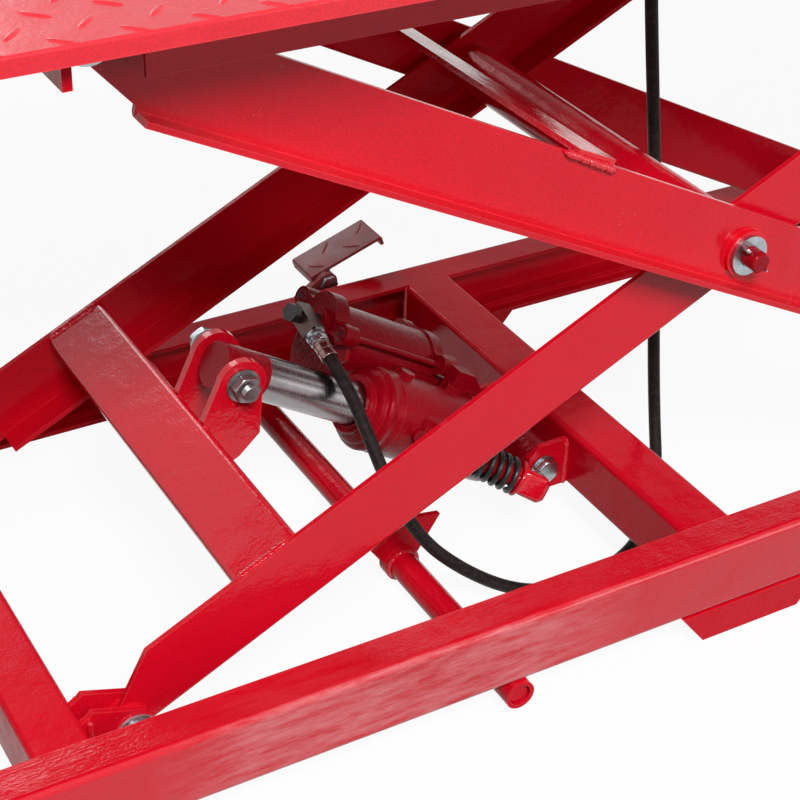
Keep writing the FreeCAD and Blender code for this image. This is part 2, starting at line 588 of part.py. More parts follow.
outer_arm("outer_arm_near", -1)
outer_arm("outer_arm_far", 1)
outer_n = "-upper_pivot_rise"
boss = ring("boss_ring", "boss_radius", "centre_pin + fit_gap", "boss_wall + arm_wall + arm_wall",
            (half_span, "-outer_arm_face - boss_wall", outer_n))
boss_inside = ring("boss_inside", "boss_radius + 3", "centre_pin + fit_gap",
                   "outer_arm_face - arm_wall - inner_arm_face - 1 - running_gap",
                   (half_span, "-outer_arm_face + arm_wall", outer_n))
keep(both("boss_pair", fuse("boss", [boss, boss_inside])), "centre_bosses", OUTER)
lower_pin = fuse("lower_pin", [
    rod("lower_pin_rod", "roller_pin", "base_width / 2 - rail_wall - roller_play - outer_arm_face + 2 * arm_wall",
        ("arm_span", "-base_width / 2 + rail_wall + roller_play", lower_n)),
    rod("lower_pin_collar", "roller_pin + 4",
        "base_width / 2 - rail_wall - roller_play - lower_roller_width - outer_arm_face - running_gap",
        ("arm_span", "-base_width / 2 + rail_wall + roller_play + lower_roller_width + running_gap", lower_n))])
keep(both("lower_pin_pair", lower_pin), "lower_roller_pins", OUTER)

# Flat brace welded slightly askew across the tops of the outer arms.
skew = "brace_skew"
brace = block("brace_plate", ("brace_width", "2 * outer_arm_face / cos(%s * 1 deg) - 2" % skew, "brace_wall"),
              ("-brace_width / 2", "-outer_arm_face / cos(%s * 1 deg) + 1" % skew, "0"))
turned = group("brace_turned", [brace])
turned.Placement = Placement(spot(("brace_start", "0", OUTER_TOP)), Rotation(Z_AXIS, val(skew)))
keep(group("brace_group", [turned]), "brace_flat_bar", OUTER)
tie_x = "(arm_span - tie_tube_back)"
tie = ring("tie_tube_ring", "tie_tube", "tie_tube - tie_tube_wall", "2 * (outer_arm_face - arm_wall)",
           (tie_x, "-outer_arm_face + arm_wall", outer_n))
keep(group("tie_group", [tie]), "outer_tie_tube", OUTER)

# Rollers, one near and one far of each pair.
for side, word in ((-1, "near"), (1, "far")):
    face = "base_width / 2 - rail_wall - roller_play"
    start = "-(%s)" % face if side < 0 else "%s - lower_roller_width" % face
    wheel = ring("lower_roller_%s_ring" % word, "roller_radius", "roller_pin + fit_gap", "lower_roller_width",
                 ("arm_span", start, lower_n))
    keep(group("lower_roller_group_" + word, [wheel]), "lower_roller_" + word, OUTER)
    face = track_back + " - roller_play"
    start = "-(%s)" % face if side < 0 else "%s - upper_roller_width" % face
    wheel = ring("upper_roller_%s_ring" % word, "upper_roller", "roller_pin + fit_gap", "upper_roller_width",
                 ("arm_span", start, upper_n))
    keep(group("upper_roller_group_" + word, [wheel]), "upper_roller_" + word, INNER)

# Jack: ram, gland and cylinder along one axis, drawn in the frame of that axis.
heel_at = str(heel_s)
axis_y = "jack_y"
head = rod("ram_head_all", "ram_radius", "ram_head_length", ("-ram_head_front", axis_y, "0"), "x")
head_bore = rod("ram_head_bore", "ram_pin_radius + ram_bore_play", "3 * ram_radius", ("0", "jack_y - 1.5 * ram_radius", "0"))
keep(cut("ram_head_cut", head, [head_bore]), "ram_head", JACK)
ram_start = "(ram_head_length - ram_head_front)"
ram_end = "(gland_start + ram_inside)"
ram = rod("ram_rod_all", "ram_radius", ram_end + " - " + ram_start, (ram_start, axis_y, "0"), "x")
keep(group("ram_rod_group", [ram]), "ram_rod", JACK)

gland_body = rod("gland_body", "gland_radius", "gland_length", ("gland_start", axis_y, "0"), "x")
gland_lip = rod("gland_lip", "gland_collar", "gland_step", ("gland_start - gland_step", axis_y, "0"), "x")
grooves = []
for index in (1, 2, 3):
    outer = rod("gland_groove_o%d" % index, "gland_radius + 1", "gland_groove",
                ("gland_start + %d * gland_groove * 2.4" % index, axis_y, "0"), "x")
    inner = rod("gland_groove_i%d" % index, "gland_radius - gland_groove", "gland_groove",
                ("gland_start + %d * gland_groove * 2.4" % index, axis_y, "0"), "x")
    grooves.append(cut("gland_groove_%d" % index, outer, [inner]))
gland_bore = rod("gland_bore", "ram_radius + fit_gap", "gland_length + 2 * gland_step",
                 ("gland_start - 1.5 * gland_step", axis_y, "0"), "x")
gland = cut("gland_cut", fuse("gland_solid", [gland_body, gland_lip]), grooves + [gland_bore])
keep(gland, "jack_gland", JACK)

body_start = "(gland_start + gland_length)"
body_end = "(gland_start + gland_length + body_length)"
barrel = rod("jack_barrel", "body_radius", "body_length", (body_start, axis_y, "0"), "x")
barrel_band = rod("jack_band", "body_radius + 3", "16", (body_start + " + body_length - 52", axis_y, "0"), "x")
lug = rod("jack_lug", "lug_radius", "lug_half_near + lug_half_far - 2 * bracket_wall - 4 * running_gap",
          (heel_at, "-lug_half_near + bracket_wall + 2 * running_gap", "jack_offset"))
neck = block("jack_neck", (heel_at + " - " + body_end + " + 4", "1.7 * body_radius", "1.1 * body_radius"),
             (body_end + " - 4", "jack_y - 0.85 * body_radius", "-0.45 * body_radius"))
pump_way = Rotation(Z_AXIS, -val("pump_turn"))
pump_x, pump_y = "cos(pump_turn * 1 deg)", "sin(pump_turn * 1 deg)"
pump_end = Vector(val("pump_end_s"), val("pump_end_y"), val("pump_n"))


def along_pump(distance):
    """Point on the pump axis, a distance back from the middle of its end block."""
    back = val(distance)
    way = pump_way.multVec(X_AXIS)
    return pump_end - way * back


def pump_rod(name, radius, length, start):
    item = doc.addObject("Part::Cylinder", name)
    item.setExpression("Radius", linked(radius))
    item.setExpression("Height", linked(length))
    item.Placement = Placement(along_pump(start), pump_way * ALONG["x"])
    return item


spring_front = "(pump_block_length / 2 + spring_length)"
housing = pump_rod("pump_housing", "pump_housing_radius", "pump_housing_length + 36",
                   spring_front + " + pump_housing_length + 36")
housing_flange = pump_rod("pump_flange", "pump_housing_radius + 3", "7", spring_front + " + 7")
plunger_hole = pump_rod("pump_hole", "plunger_radius + fit_gap", "60", spring_front + " + 58")
arm_plate = block("motor_shelf", ("56", "motor_y - jack_y - body_radius + 28", "14"),
                  (body_start + " + 24", "jack_y + body_radius - 12", "motor_n - 7"))
barrel_bore = rod("jack_barrel_bore", "ram_radius + fit_gap", "ram_inside + ram_stroke - gland_length + 1",
                  (body_start + " - 1", axis_y, "0"), "x")
lug_bore = rod("jack_lug_bore", "lug_pin + fit_gap", "lug_half_near + lug_half_far",
               (heel_at, "-lug_half_near", "jack_offset"))
plug = hexagon("jack_plug", "jack_plug_flat", "jack_plug_height + 1",
               (body_start + " + jack_plug_flat * 1.6", axis_y, "body_radius - 1"), "z")
side_boss = rod("jack_side_boss", "jack_boss", "2 * jack_boss",
                ("jack_boss_s", "jack_y - body_radius - jack_boss", "jack_boss_n"))
valve = prism("valve_block", "XZ_Plane", "-valve_side", "valve_width",
              [("valve_start", "0 * valve_top"), ("valve_start", "valve_top"),
               ("valve_start + valve_flat", "valve_top"), ("valve_start + valve_length", "valve_heel"),
               ("valve_start + valve_length", "0 * valve_top")])
filler = hexagon("jack_filler", "jack_plug_flat", "jack_plug_height + 1",
                 (body_start + " + body_length / 2", axis_y, "body_radius - 1"), "z")
cylinder = cut("jack_cylinder_cut", fuse("jack_cylinder_solid",
               [barrel, barrel_band, lug, neck, housing, housing_flange, arm_plate, plug, filler, side_boss, valve]),
               [barrel_bore, lug_bore, plunger_hole])
keep(cylinder, "jack_cylinder", JACK)

# Pump: a plunger with a square end block and its return spring.
end_block = doc.addObject("Part::Box", "pump_end_block")
end_block.setExpression("Length", linked("pump_block_length"))
end_block.setExpression("Width", linked("pump_block"))
end_block.setExpression("Height", linked("pump_block"))
half_block = val("pump_block") / 2
end_block.Placement = Placement(along_pump("pump_block_length / 2")
                                + pump_way.multVec(Vector(0, -half_block, -half_block)), pump_way)
plunger = pump_rod("pump_plunger_rod", "plunger_radius", "spring_length + pump_block_length + 40",
                   spring_front + " + 40 - plunger_stroke")
collar = pump_rod("pump_collar", "spring_radius + spring_wire", "3", "pump_block_length / 2 + 3")
keep(fuse("pump_plunger_all", [plunger, end_block, collar]), "pump_plunger", JACK)


def coil(start, length, radius, wire, turns):
    """Coil spring: one tube swept along a helix made of arcs, four to each turn."""
    step = turns * 4
    path = []
    pitch = length / step

    def at(angle):
        return Vector(angle / 90 * pitch, radius * math.cos(math.radians(angle)),
                      radius * math.sin(math.radians(angle)))
    for index in range(int(step)):
        angle = index * 90
        middle = at(angle + 45)
        path.append(Part.Arc(at(angle), middle, at(angle + 90)).toShape())
    spine = Part.Wire(path)
    first = path[0].tangentAt(path[0].FirstParameter)
    section = Part.Wire([Part.makeCircle(wire, at(0), first)])
    sweep = Part.BRepOffsetAPI.MakePipeShell(spine)
    sweep.setFrenetMode(False)
    sweep.add(section, False, True)
    sweep.build()
    sweep.makeSolid()
    return sweep.shape()


spring_run = "(spring_length - 3 - 2 * spring_wire - 4 * running_gap)"
spring_shape = coil(0, val(spring_run), val("spring_radius"), val("spring_wire"), val("spring_turns"))
spring = doc.addObject("Part::Feature", "pump_spring_coil")
spring.Shape = spring_shape
keep(spring, "pump_spring", JACK * Placement(
    along_pump(spring_front + " - spring_wire - 2 * running_gap"), pump_way))
print("spring pitch less wire", val(spring_run + " / spring_turns - 2 * spring_wire"))

# Jack bracket: two plates on the left face of the jack crossbeam, and the bolt through them.
HEEL_X, HEEL_Z = "jack_pivot_x", "(foot_rise + jack_pivot_z)"
plate_low = "(foot_rise + 7)"
plate = [("jack_beam_x", plate_low), ("jack_beam_x", plate_low + " + bracket_height"),
         ("jack_beam_x - bracket_reach + bracket_chamfer", plate_low + " + bracket_height"),
         ("jack_beam_x - bracket_reach", plate_low + " + bracket_height - bracket_chamfer"),
         ("jack_beam_x - bracket_reach", plate_low + " + bracket_chamfer"),
         ("jack_beam_x - bracket_reach + bracket_chamfer", plate_low)]
hole = (HEEL_X, HEEL_Z, "lug_pin + fit_gap")
near_plate = prism("bracket_near", "XZ_Plane", "lug_half_near - bracket_wall", "bracket_wall", plate, [hole])
far_plate = prism("bracket_far", "XZ_Plane", "-lug_half_far", "bracket_wall", plate, [hole])
keep(group("bracket_pair", [near_plate, far_plate]), "jack_bracket", BASE)
jack_bolt = fuse("jack_bolt_all", [
    rod("jack_bolt_shank", "lug_pin", "lug_half_near + lug_half_far + 10", (HEEL_X, "-lug_half_near", HEEL_Z)),
    rod("jack_bolt_washer", "jack_bolt_head + 4", "washer_wall / 2", (HEEL_X, "-lug_half_near - washer_wall / 2", HEEL_Z)),
    hexagon("jack_bolt_hex", "jack_bolt_head", "bolt_head_height",
            (HEEL_X, "-lug_half_near - washer_wall / 2 - bolt_head_height", HEEL_Z)),
    hexagon("jack_bolt_nut", "jack_bolt_head", "bolt_head_height", (HEEL_X, "lug_half_far", HEEL_Z))])
keep(jack_bolt, "jack_pivot_bolt", BASE)

# Air motor beside the jack: disc, barrel and rear flange, then the valve cap with its rods.
motor_axis = ("motor_y", "motor_n")
flange_start = "(motor_disc_start + motor_length - motor_flange)"
flange_bar = block("motor_flange_bar", ("motor_flange", "2 * cap_half", "1.4 * cap_lobe"),
                   (flange_start, "motor_y - cap_half", "cap_n - 0.7 * cap_lobe"))
flange_lobes = [rod("motor_lobe_%d" % index, "cap_lobe", "motor_flange",
                    (flange_start, "motor_y + (%d) * cap_half" % side, "cap_n"), "x")
                for index, side in enumerate((-1, 1))]
motor = fuse("motor_solid", flange_lobes + [
    flange_bar,
    rod("motor_disc_all", "motor_disc", "motor_disc_wall", ("motor_disc_start", "motor_disc_y", "motor_disc_n"), "x"),
    rod("motor_barrel_all", "motor_radius", "motor_length", ("motor_disc_start",) + motor_axis, "x"),
    rod("motor_flange_all", "motor_rim", "motor_flange", (flange_start,) + motor_axis, "x"),
    rod("motor_neck_all", "0.6 * motor_radius", "motor_neck + 1",
        ("motor_disc_start + motor_length - 1",) + motor_axis, "x")])
motor_clear = rod("motor_clear", "body_radius + running_gap", "motor_length * 2", ("gland_start - 1", axis_y, "0"), "x")
gland_clear = rod("motor_clear_gland", "gland_radius + running_gap", "motor_length", ("gland_start - 20", axis_y, "0"), "x")
shelf_clear = block("motor_shelf_clear", ("56 + 2 * running_gap", "200", "14 + 2 * running_gap"),
                    (body_start + " + 24 - running_gap", "jack_y", "motor_n - 7 - running_gap"))
band_clear = rod("motor_band_clear", "body_radius + 3 + running_gap", "60",
                 (body_start + " + body_length - 60", axis_y, "0"), "x")
rod_holes = []
for index, side in enumerate((-1, 1)):
    rod_holes.append(rod("motor_rod_hole_%d" % index, "tie_rod + fit_gap", "motor_length + 2",
                         ("motor_disc_start - 1", "motor_y + (%d) * cap_half" % side, "cap_n"), "x"))
keep(cut("motor_cut", motor, [motor_clear, gland_clear, shelf_clear, band_clear] + rod_holes), "air_motor_barrel", JACK)

cap_pieces = [rod("cap_core", "cap_radius", "motor_disc_start - cap_start - running_gap",
                  ("cap_start", "motor_y", "cap_n"), "x"),
              rod("cap_boss_all", "cap_boss", "cap_boss_height + 1",
                  ("cap_start - cap_boss_height", "banjo_y", "banjo_n"), "x")]
screws = []
for index, side in enumerate((-1, 1)):
    across = "motor_y + (%d) * cap_half" % side
    cap_pieces.append(rod("cap_lobe_%d" % index, "cap_lobe", "motor_disc_start - cap_start - running_gap",
                          ("cap_start", across, "cap_n"), "x"))
    screws.append(ring("cap_seat_%d" % index, "screw_head + 1", "screw_head", "2 * screw_socket",
                       ("cap_start - 1", across, "cap_n"), "x"))
    screws.append(hexagon("cap_socket_%d" % index, "screw_socket", "1 + 2 * screw_socket",
                          ("cap_start - 1", across, "cap_n"), "x"))
cap_pieces.append(block("cap_bar", ("motor_disc_start - cap_start - running_gap", "2 * cap_half", "1.4 * cap_lobe"),
                        ("cap_start", "motor_y - cap_half", "cap_n - 0.7 * cap_lobe")))
keep(cut("cap_cut", fuse("cap_all", cap_pieces), screws), "air_motor_cap", JACK)
back_face = "(motor_disc_start + motor_length)"
bars = []
for index, side in enumerate((-1, 1)):
    across = "motor_y + (%d) * cap_half" % side
    shank = rod("motor_rod_%d" % index, "tie_rod", back_face + " - motor_disc_start + 4 * tie_rod",
                ("motor_disc_start", across, "cap_n"), "x")
    nut = hexagon("motor_rod_nut_%d" % index, "2.2 * tie_rod", "2.5 * tie_rod",
                  (back_face + " + running_gap", across, "cap_n"), "x")
    bars.append(fuse("motor_rod_all_%d" % index, [shank, nut]))
keep(group("motor_rod_pair", bars), "air_motor_rods", JACK)

# Hose connection on the valve cap: banjo bolt, square block and the crimped ferrule.
FITTING = JACK * Placement(spot(("cap_start", "banjo_y", "banjo_n")),
                           Rotation(Z_AXIS, val("banjo_yaw")) * Rotation(X_AXIS, val("banjo_roll")))
centre_line = ("0", "0")
block_start = "(-banjo_turn - banjo_length)"
banjo = fuse("banjo_all", [
    rod("banjo_shank", "banjo_neck", "banjo_turn + banjo_length - cap_boss_height - 0.25 * banjo_hex",
        (block_start,) + centre_line, "x"),
    hexagon("banjo_head", "banjo_hex", "banjo_hex_height", (block_start + " - banjo_hex_height",) + centre_line, "x"),
    rod("banjo_jam", "1.1 * banjo_neck", "banjo_turn - cap_boss_height - 0.5 * banjo_hex",
        ("running_gap - banjo_turn",) + centre_line, "x")])
keep(banjo, "banjo_bolt", FITTING)
square = block("banjo_square", ("banjo_length - 2 * running_gap", "banjo_up + banjo_down", "banjo_size"),
               (block_start + " + running_gap", "-banjo_down", "-banjo_size / 2"))
square_bore = rod("banjo_square_bore", "banjo_neck + fit_gap", "banjo_length + 2", (block_start + " - 1",) + centre_line, "x")
keep(cut("banjo_square_cut", square, [square_bore]), "banjo_block", FITTING)


def on_ferrule(name, kind, radius, length, start):
    """Round or hexagonal piece on the ferrule's axis, a distance from the block."""
    at = (block_start + " + banjo_length / 2", "-banjo_down - (%s) - (%s)" % (start, length), "0")
    if kind == "hex":
        return hexagon(name, radius, length, at)
    return rod(name, radius, length, at)


nut_start = "ferrule_collar_wall"
grip_start = "(ferrule_collar_wall + ferrule_nut_length)"
ferrule = fuse("ferrule_all", [
    on_ferrule("ferrule_collar_all", "round", "ferrule_collar", "ferrule_collar_wall", "running_gap"),
    on_ferrule("ferrule_hex", "hex", "ferrule_nut", "ferrule_nut_length", nut_start),
    on_ferrule("ferrule_sleeve", "round", "ferrule_radius", "ferrule_length - %s" % grip_start, grip_start)])
ferrule_bore = on_ferrule("ferrule_bore", "round", "hose_radius + running_gap", "ferrule_grip + 1", "ferrule_length - ferrule_grip")
keep(cut("ferrule_cut", ferrule, [ferrule_bore]), "hose_ferrule", FITTING)

# Air hose: straight runs joined by tangent arcs, from the ferrule to the fitting under the platform.
HOSE_ROUTE = [
    (319.6, -24.0, 207.5), (317.0, -68.0, 182.0), (322.0, -108.0, 136.0), (342.0, -137.0, 88.0),
    (381.2, -152.0, 48.0), (429.4, -166.0, 15.5), (472.0, -179.0, 6.5), (556.0, -176.0, 6.5),
    (622.0, -138.0, 6.5), (668.0, -90.0, 24.0), (684.0, -52.0, 86.0), (680.0, -38.0, 186.0),
    (675.6, -22.0, 326.0), (659.6, -10.0, 476.0), (641.6, -8.0, 606.0), (634.6, -6.0, 694.0)]


def rounded_route(points, share):
    """Edges of a route: straight runs and the tangent arcs between them, with the arc radii."""
    edges = []
    radii = []
    last = points[0]
    for before, corner, after in zip(points, points[1:], points[2:]):
        way_in = (corner - before).normalize()
        way_out = (after - corner).normalize()
        turn = way_in.getAngle(way_out)
        cut_back = share * min((corner - before).Length, (after - corner).Length)
        radius = cut_back / math.tan(turn / 2)
        radii.append(radius)
        start = corner - way_in * cut_back
        end = corner + way_out * cut_back
        inward = (way_out - way_in).normalize()
        middle = corner + inward * (radius / math.cos(turn / 2) - radius)
        edges.append(Part.makeLine(last, start))
        edges.append(Part.Arc(start, middle, end).toShape())
        last = end
    edges.append(Part.makeLine(last, points[-1]))
    return edges, radii


def tube_along(edges, radius):
    """Round solid swept along a smooth chain of edges."""
    spine = Part.Wire(edges)
    first = edges[0]
    at = first.valueAt(first.FirstParameter)
    way = first.tangentAt(first.FirstParameter)
    section = Part.Wire([Part.makeCircle(radius, at, way)])
    sweep = Part.BRepOffsetAPI.MakePipeShell(spine)
    sweep.setFrenetMode(False)
    sweep.add(section, False, True)
    sweep.build()
    sweep.makeSolid()
    return sweep.shape()


hose_start = FITTING.multVec(spot((block_start + " + banjo_length / 2", "hose_sink - banjo_down - ferrule_length", "0"))) - BASE.Base
route = [hose_start] + [Vector(*point) for point in HOSE_ROUTE]
hose_edges, hose_radii = rounded_route(route, val("hose_run_share"))
hose = doc.addObject("Part::Feature", "air_hose_tube")
hose.Shape = tube_along(hose_edges, val("hose_radius"))
keep(hose, "air_hose", BASE)
hose_line = sum(edge.Length for edge in hose_edges)
print("hose start", hose_start)
print("hose radii", ["%.0f" % radius for radius in hose_radii])
print("hose volume ratio", hose.Shape.Volume / (hose_line * math.pi * val("hose_radius") ** 2))

# Pedal on the far side: its sleeve under the rails, the axle, the arm, the tread and its bolt.
sleeve_z = "(foot_rise - sleeve_radius)"
sleeve_bore = rod("sleeve_bore", "axle_radius + fit_gap", "2 * base_width", ("sleeve_x", "-base_width", sleeve_z))
sleeve_mouth = rod("sleeve_mouth_cut", "sleeve_mouth", "2 * sleeve_mouth_depth",
                   ("sleeve_x", "-base_width / 2 - sleeve_out - sleeve_mouth_depth", sleeve_z))
saddles = []
for side, word in ((-1, "near"), (1, "far")):
    start = "-base_width / 2" if side < 0 else "base_width / 2 - rail_flange"
    saddles.append(block("saddle_" + word, ("sleeve_radius", "rail_flange", "sleeve_radius"),
                         ("sleeve_x - sleeve_radius / 2", start, sleeve_z)))
lug_plate = prism("sleeve_lug", "XZ_Plane", "lug_y - lug_plate_wall / 2", "lug_plate_wall",
                  [("sleeve_x - sleeve_radius", sleeve_z), ("sleeve_x + sleeve_radius", sleeve_z),
                   ("sleeve_x + lug_plate_width", sleeve_z + " + lug_plate_height"),
                   ("sleeve_x + 0.2 * lug_plate_width", sleeve_z + " + lug_plate_height + 6"),
                   ("sleeve_x - 0.75 * lug_plate_width", sleeve_z + " + 0.5 * lug_plate_height")])
lug_ring = rod("sleeve_lug_ring", "sleeve_radius + 4", "14", ("sleeve_x", "-lug_y - 7", sleeve_z))
tube = rod("sleeve_tube", "sleeve_radius", "base_width + sleeve_out", ("sleeve_x", "-base_width / 2 - sleeve_out", sleeve_z))
keep(cut("sleeve_cut", fuse("sleeve_solid", [tube, lug_plate, lug_ring] + saddles), [sleeve_bore, sleeve_mouth]), "pedal_sleeve", BASE)

arm_inside = "(base_width / 2 + pedal_side)"
axle = rod("pedal_axle_rod", "axle_radius", "base_width / 2 - axle_inset + %s + pedal_arm_wall + sleeve_out" % arm_inside,
           ("sleeve_x", "axle_inset - base_width / 2", sleeve_z))
keep(group("pedal_axle_group", [axle]), "pedal_axle", BASE)
arm_dx = "(pedal_bolt_x - sleeve_x)"
arm_dz = "(foot_rise + pedal_bolt_z - %s)" % sleeve_z
arm_length = math.hypot(val(arm_dx), val(arm_dz))
arm_slope = -math.degrees(math.atan2(val(arm_dz), val(arm_dx)))
ARM = Placement(Vector(AXIS.x + val("sleeve_x"), val(arm_inside), val(sleeve_z)), Rotation(Y_AXIS, arm_slope))
lever = block("pedal_arm_bar", (str(arm_length), "pedal_arm_wall", "pedal_arm_width"), ("0", "0", "-pedal_arm_width / 2"))
eye = rod("pedal_arm_eye", "pedal_arm_width * 0.7", "pedal_arm_wall", ("0", "0", "0"))
tip = rod("pedal_arm_tip", "pedal_arm_width / 2", "pedal_arm_wall", (str(arm_length), "0", "0"))
eye_hole = rod("pedal_arm_hole", "axle_radius", "pedal_arm_wall + 2", ("0", "-1", "0"))
tip_hole = rod("pedal_tip_hole", "pedal_bolt_radius", "pedal_arm_wall + 2", (str(arm_length), "-1", "0"))
keep(cut("pedal_arm_cut", fuse("pedal_arm_solid", [lever, eye, tip]), [eye_hole, tip_hole]), "pedal_arm", ARM)
bolt_z = "(foot_rise + pedal_bolt_z)"
bolt_out = "(%s + pedal_arm_wall)" % arm_inside
pedal_bolt = fuse("pedal_bolt_all", [
    rod("pedal_bolt_shank", "pedal_bolt_radius", "pedal_arm_wall + pedal_width - 12", ("pedal_bolt_x", arm_inside, bolt_z)),
    hexagon("pedal_bolt_head", "1.6 * pedal_bolt_radius", "pedal_bolt_radius",
            ("pedal_bolt_x", "base_width / 2 + pedal_side - pedal_bolt_radius", bolt_z))])
keep(pedal_bolt, "pedal_bolt", BASE)
tread = body("pedal_plate")
low_lip = "-pedal_lip"
outline = [("-pedal_lead", "0"), ("pedal_length - pedal_lead", "0"), ("pedal_length - pedal_lead", low_lip),
           ("pedal_length - pedal_lead - pedal_sheet", low_lip),
           ("pedal_length - pedal_lead - pedal_sheet", "-pedal_sheet"),
           ("pedal_sheet - pedal_lead", "-pedal_sheet"), ("pedal_sheet - pedal_lead", low_lip), ("-pedal_lead", low_lip)]
pad(tread, "plate", "XZ_Plane", "-%s - pedal_width" % bolt_out, "pedal_width", [outline])
pad(tread, "rib", "XZ_Plane", "-%s - pedal_width + 8" % bolt_out, "pedal_width - 8.5",
    [[("-6", "-pedal_sheet"), ("6", "-pedal_sheet"), ("6", "-pedal_sheet - 4"), ("-6", "-pedal_sheet - 4")]])
soften(tread, "bend", "pedal_sheet - 1", lambda e: runs(e, Y_AXIS) and near(e.CenterOfMass.z, "0 * arm_wall")
       and near(e.CenterOfMass.x, "-pedal_lead", "pedal_length - pedal_lead"))
TREAD = Placement(Vector(AXIS.x + val("pedal_bolt_x"), 0, val(bolt_z + " + (pedal_bolt_radius + pedal_sheet + 4) / cos(pedal_tilt * 1 deg) + 0.02")),
                  Rotation(Y_AXIS, -val("pedal_tilt")))
keep(tread, "pedal_plate", TREAD)

# Platform: a pan of sheet with turned-down edges, its tracks, ribs and hangers.
track_top = "(upper_roller + running_gap)"
sheet_low = "(upper_roller + running_gap + deck_bar + deck_track_wall)"
sheet_top = "(upper_roller + running_gap + deck_bar + deck_track_wall + deck_sheet)"
deck_end = "(deck_length - deck_front)"
skirt_low = "(%s - deck_skirt)" % sheet_top
deck = body("deck_plate")
half_deck = "deck_width / 2"
outline = [("-" + half_deck, skirt_low), ("-%s + deck_sheet" % half_deck, skirt_low),
           ("-%s + deck_sheet" % half_deck, sheet_low), (half_deck + " - deck_sheet", sheet_low),
           (half_deck + " - deck_sheet", skirt_low), (half_deck, skirt_low), (half_deck, sheet_top),
           ("-" + half_deck, sheet_top)]
pad(deck, "pan", "YZ_Plane", "-deck_front", "deck_length", [outline])
pad(deck, "lip", "YZ_Plane", "-deck_front", "deck_sheet",
    [[("-" + half_deck, skirt_low), (half_deck, skirt_low), (half_deck, sheet_low), ("-" + half_deck, sheet_low)]])
soften(deck, "bend", "deck_sheet - 0.5", lambda e: runs(e, X_AXIS) and near(e.CenterOfMass.z, sheet_top)
       and near(abs(e.CenterOfMass.y), half_deck))
keep(deck, "deck_plate", DECK)

track_low = "(-upper_roller - running_gap * 2 - deck_track_wall)"


def track(name, side):
    item = body(name)
    sign = "(%d) * " % side
    outer, back = sign + "deck_track_face", sign + "(deck_track_face - deck_track_wall)"
    edge = sign + "(deck_track_face - deck_track_flange)"
    under = sheet_low + " - deck_track_wall"
    web = [(outer, track_low), (back, track_low), (back, under), (edge, under), (edge, sheet_low), (outer, sheet_low)]
    pad(item, "web", "YZ_Plane", "deck_track_start", "deck_track_end - deck_track_start", [web])
    wide = sign + "(deck_track_face - 1.5 * deck_track_flange)"
    floor = [(outer, track_low), (wide, track_low), (wide, track_low + " + deck_track_wall"),
             (outer, track_low + " + deck_track_wall")]
    bar = [(back, track_top), (wide, track_top), (wide, under), (back, under)]
    pad(item, "guides", "YZ_Plane", "track_flange_start", "deck_track_end - track_flange_start", [floor, bar])
    doc.recompute()
    return item


keep(group("tracks", [track("track_near", -1), track("track_far", 1)]), "deck_tracks", DECK)

RIB_SHARES = (0.286, 0.405, 0.478)
ribs = []
rib_spots = [("rib_x", "rib_half"), ("-deck_front * 0.7", "rib_half"),
             ("deck_track_end + rib_depth", "rib_half"), ("%s - 2 * rib_depth" % deck_end, "rib_half")]
rib_spots += [("deck_length * %s" % share, "(deck_track_face - deck_track_flange - 4)") for share in RIB_SHARES]
for index, (spot_x, half_rib) in enumerate(rib_spots):
    rib_low = sheet_low + " - rib_depth"
    lip = spot_x + " - rib_wall - rib_flange / 2"
    outline = [(spot_x, sheet_low), (spot_x + " - rib_wall", sheet_low), (spot_x + " - rib_wall", rib_low + " + rib_wall"),
               (lip, rib_low + " + rib_wall"), (lip, rib_low), (spot_x, rib_low)]
    if index == 0:
        rib_low = sheet_low + " - front_rib_depth"
        outline = [(spot_x, sheet_low), (spot_x + " - front_rib_wall", sheet_low),
                   (spot_x + " - front_rib_wall", rib_low), (spot_x, rib_low)]
    ribs.append(prism("rib_%d" % index, "XZ_Plane", "-" + half_rib, "2 * " + half_rib, outline))
keep(group("rib_group", ribs), "deck_ribs", DECK)

hanger_face = "(outer_arm_face - arm_wall - 3)"
hanger = [("-hanger_half", sheet_low), ("-hanger_half", "4"), ("-0.6 * hanger_half", "-hanger_drop"),
          ("0.6 * hanger_half", "-hanger_drop"), ("hanger_half", "4"), ("hanger_half", sheet_low)]
upper_x = str(UPPER.x - AXIS.x)
hanger = [("%s + %s" % (upper_x, across), up) for across, up in hanger]
plate = prism("hanger_plate", "XZ_Plane", hanger_face + " - hanger_wall", "hanger_wall", hanger,
              [(upper_x, "0", "pivot_pin + fit_gap")])
keep(both("hanger_pair", plate), "platform_ears", DECK)
pins = bolt("upper_pin_bolt", "pivot_pin", hanger_face + " - hanger_wall", "outer_arm_face + running_gap", upper_x, "0",
            head_height="bolt_head_height - 2")
keep(pins, "platform_pins", DECK)

# Tie-down loops on the edges of the platform.
loops = []
for index, spot_x in enumerate(("-deck_front * 0.85", "%s - deck_front * 0.5" % deck_end)):
    reach_y = half_deck + " + loop_reach - loop_wire"
    loop_z = sheet_top + " - deck_skirt / 2"
    bar = rod("loop_bar_%d" % index, "loop_wire", "loop_length", (spot_x, "-(%s)" % reach_y, loop_z), "x")
    legs = [bar]
    for place, name in ((spot_x + " + loop_wire", "a"), (spot_x + " + loop_length - loop_wire", "b")):
        legs.append(rod("loop_leg_%d%s" % (index, name), "loop_wire", "loop_reach - loop_wire",
                        (place, "-(%s)" % reach_y, loop_z)))
    loops.append(both("loop_pair_%d" % index, fuse("loop_%d" % index, legs)))
keep(group("loop_group", loops), "tie_down_loops", DECK)

# Ramp on a hinge at the end of the platform.
hinge_x = "(%s + ramp_gap / 2)" % deck_end
hinge_z = "(%s - hinge_radius + 2)" % sheet_low
ramp_start = "(%s + ramp_gap)" % deck_end
knuckle = "ramp_width / 5"


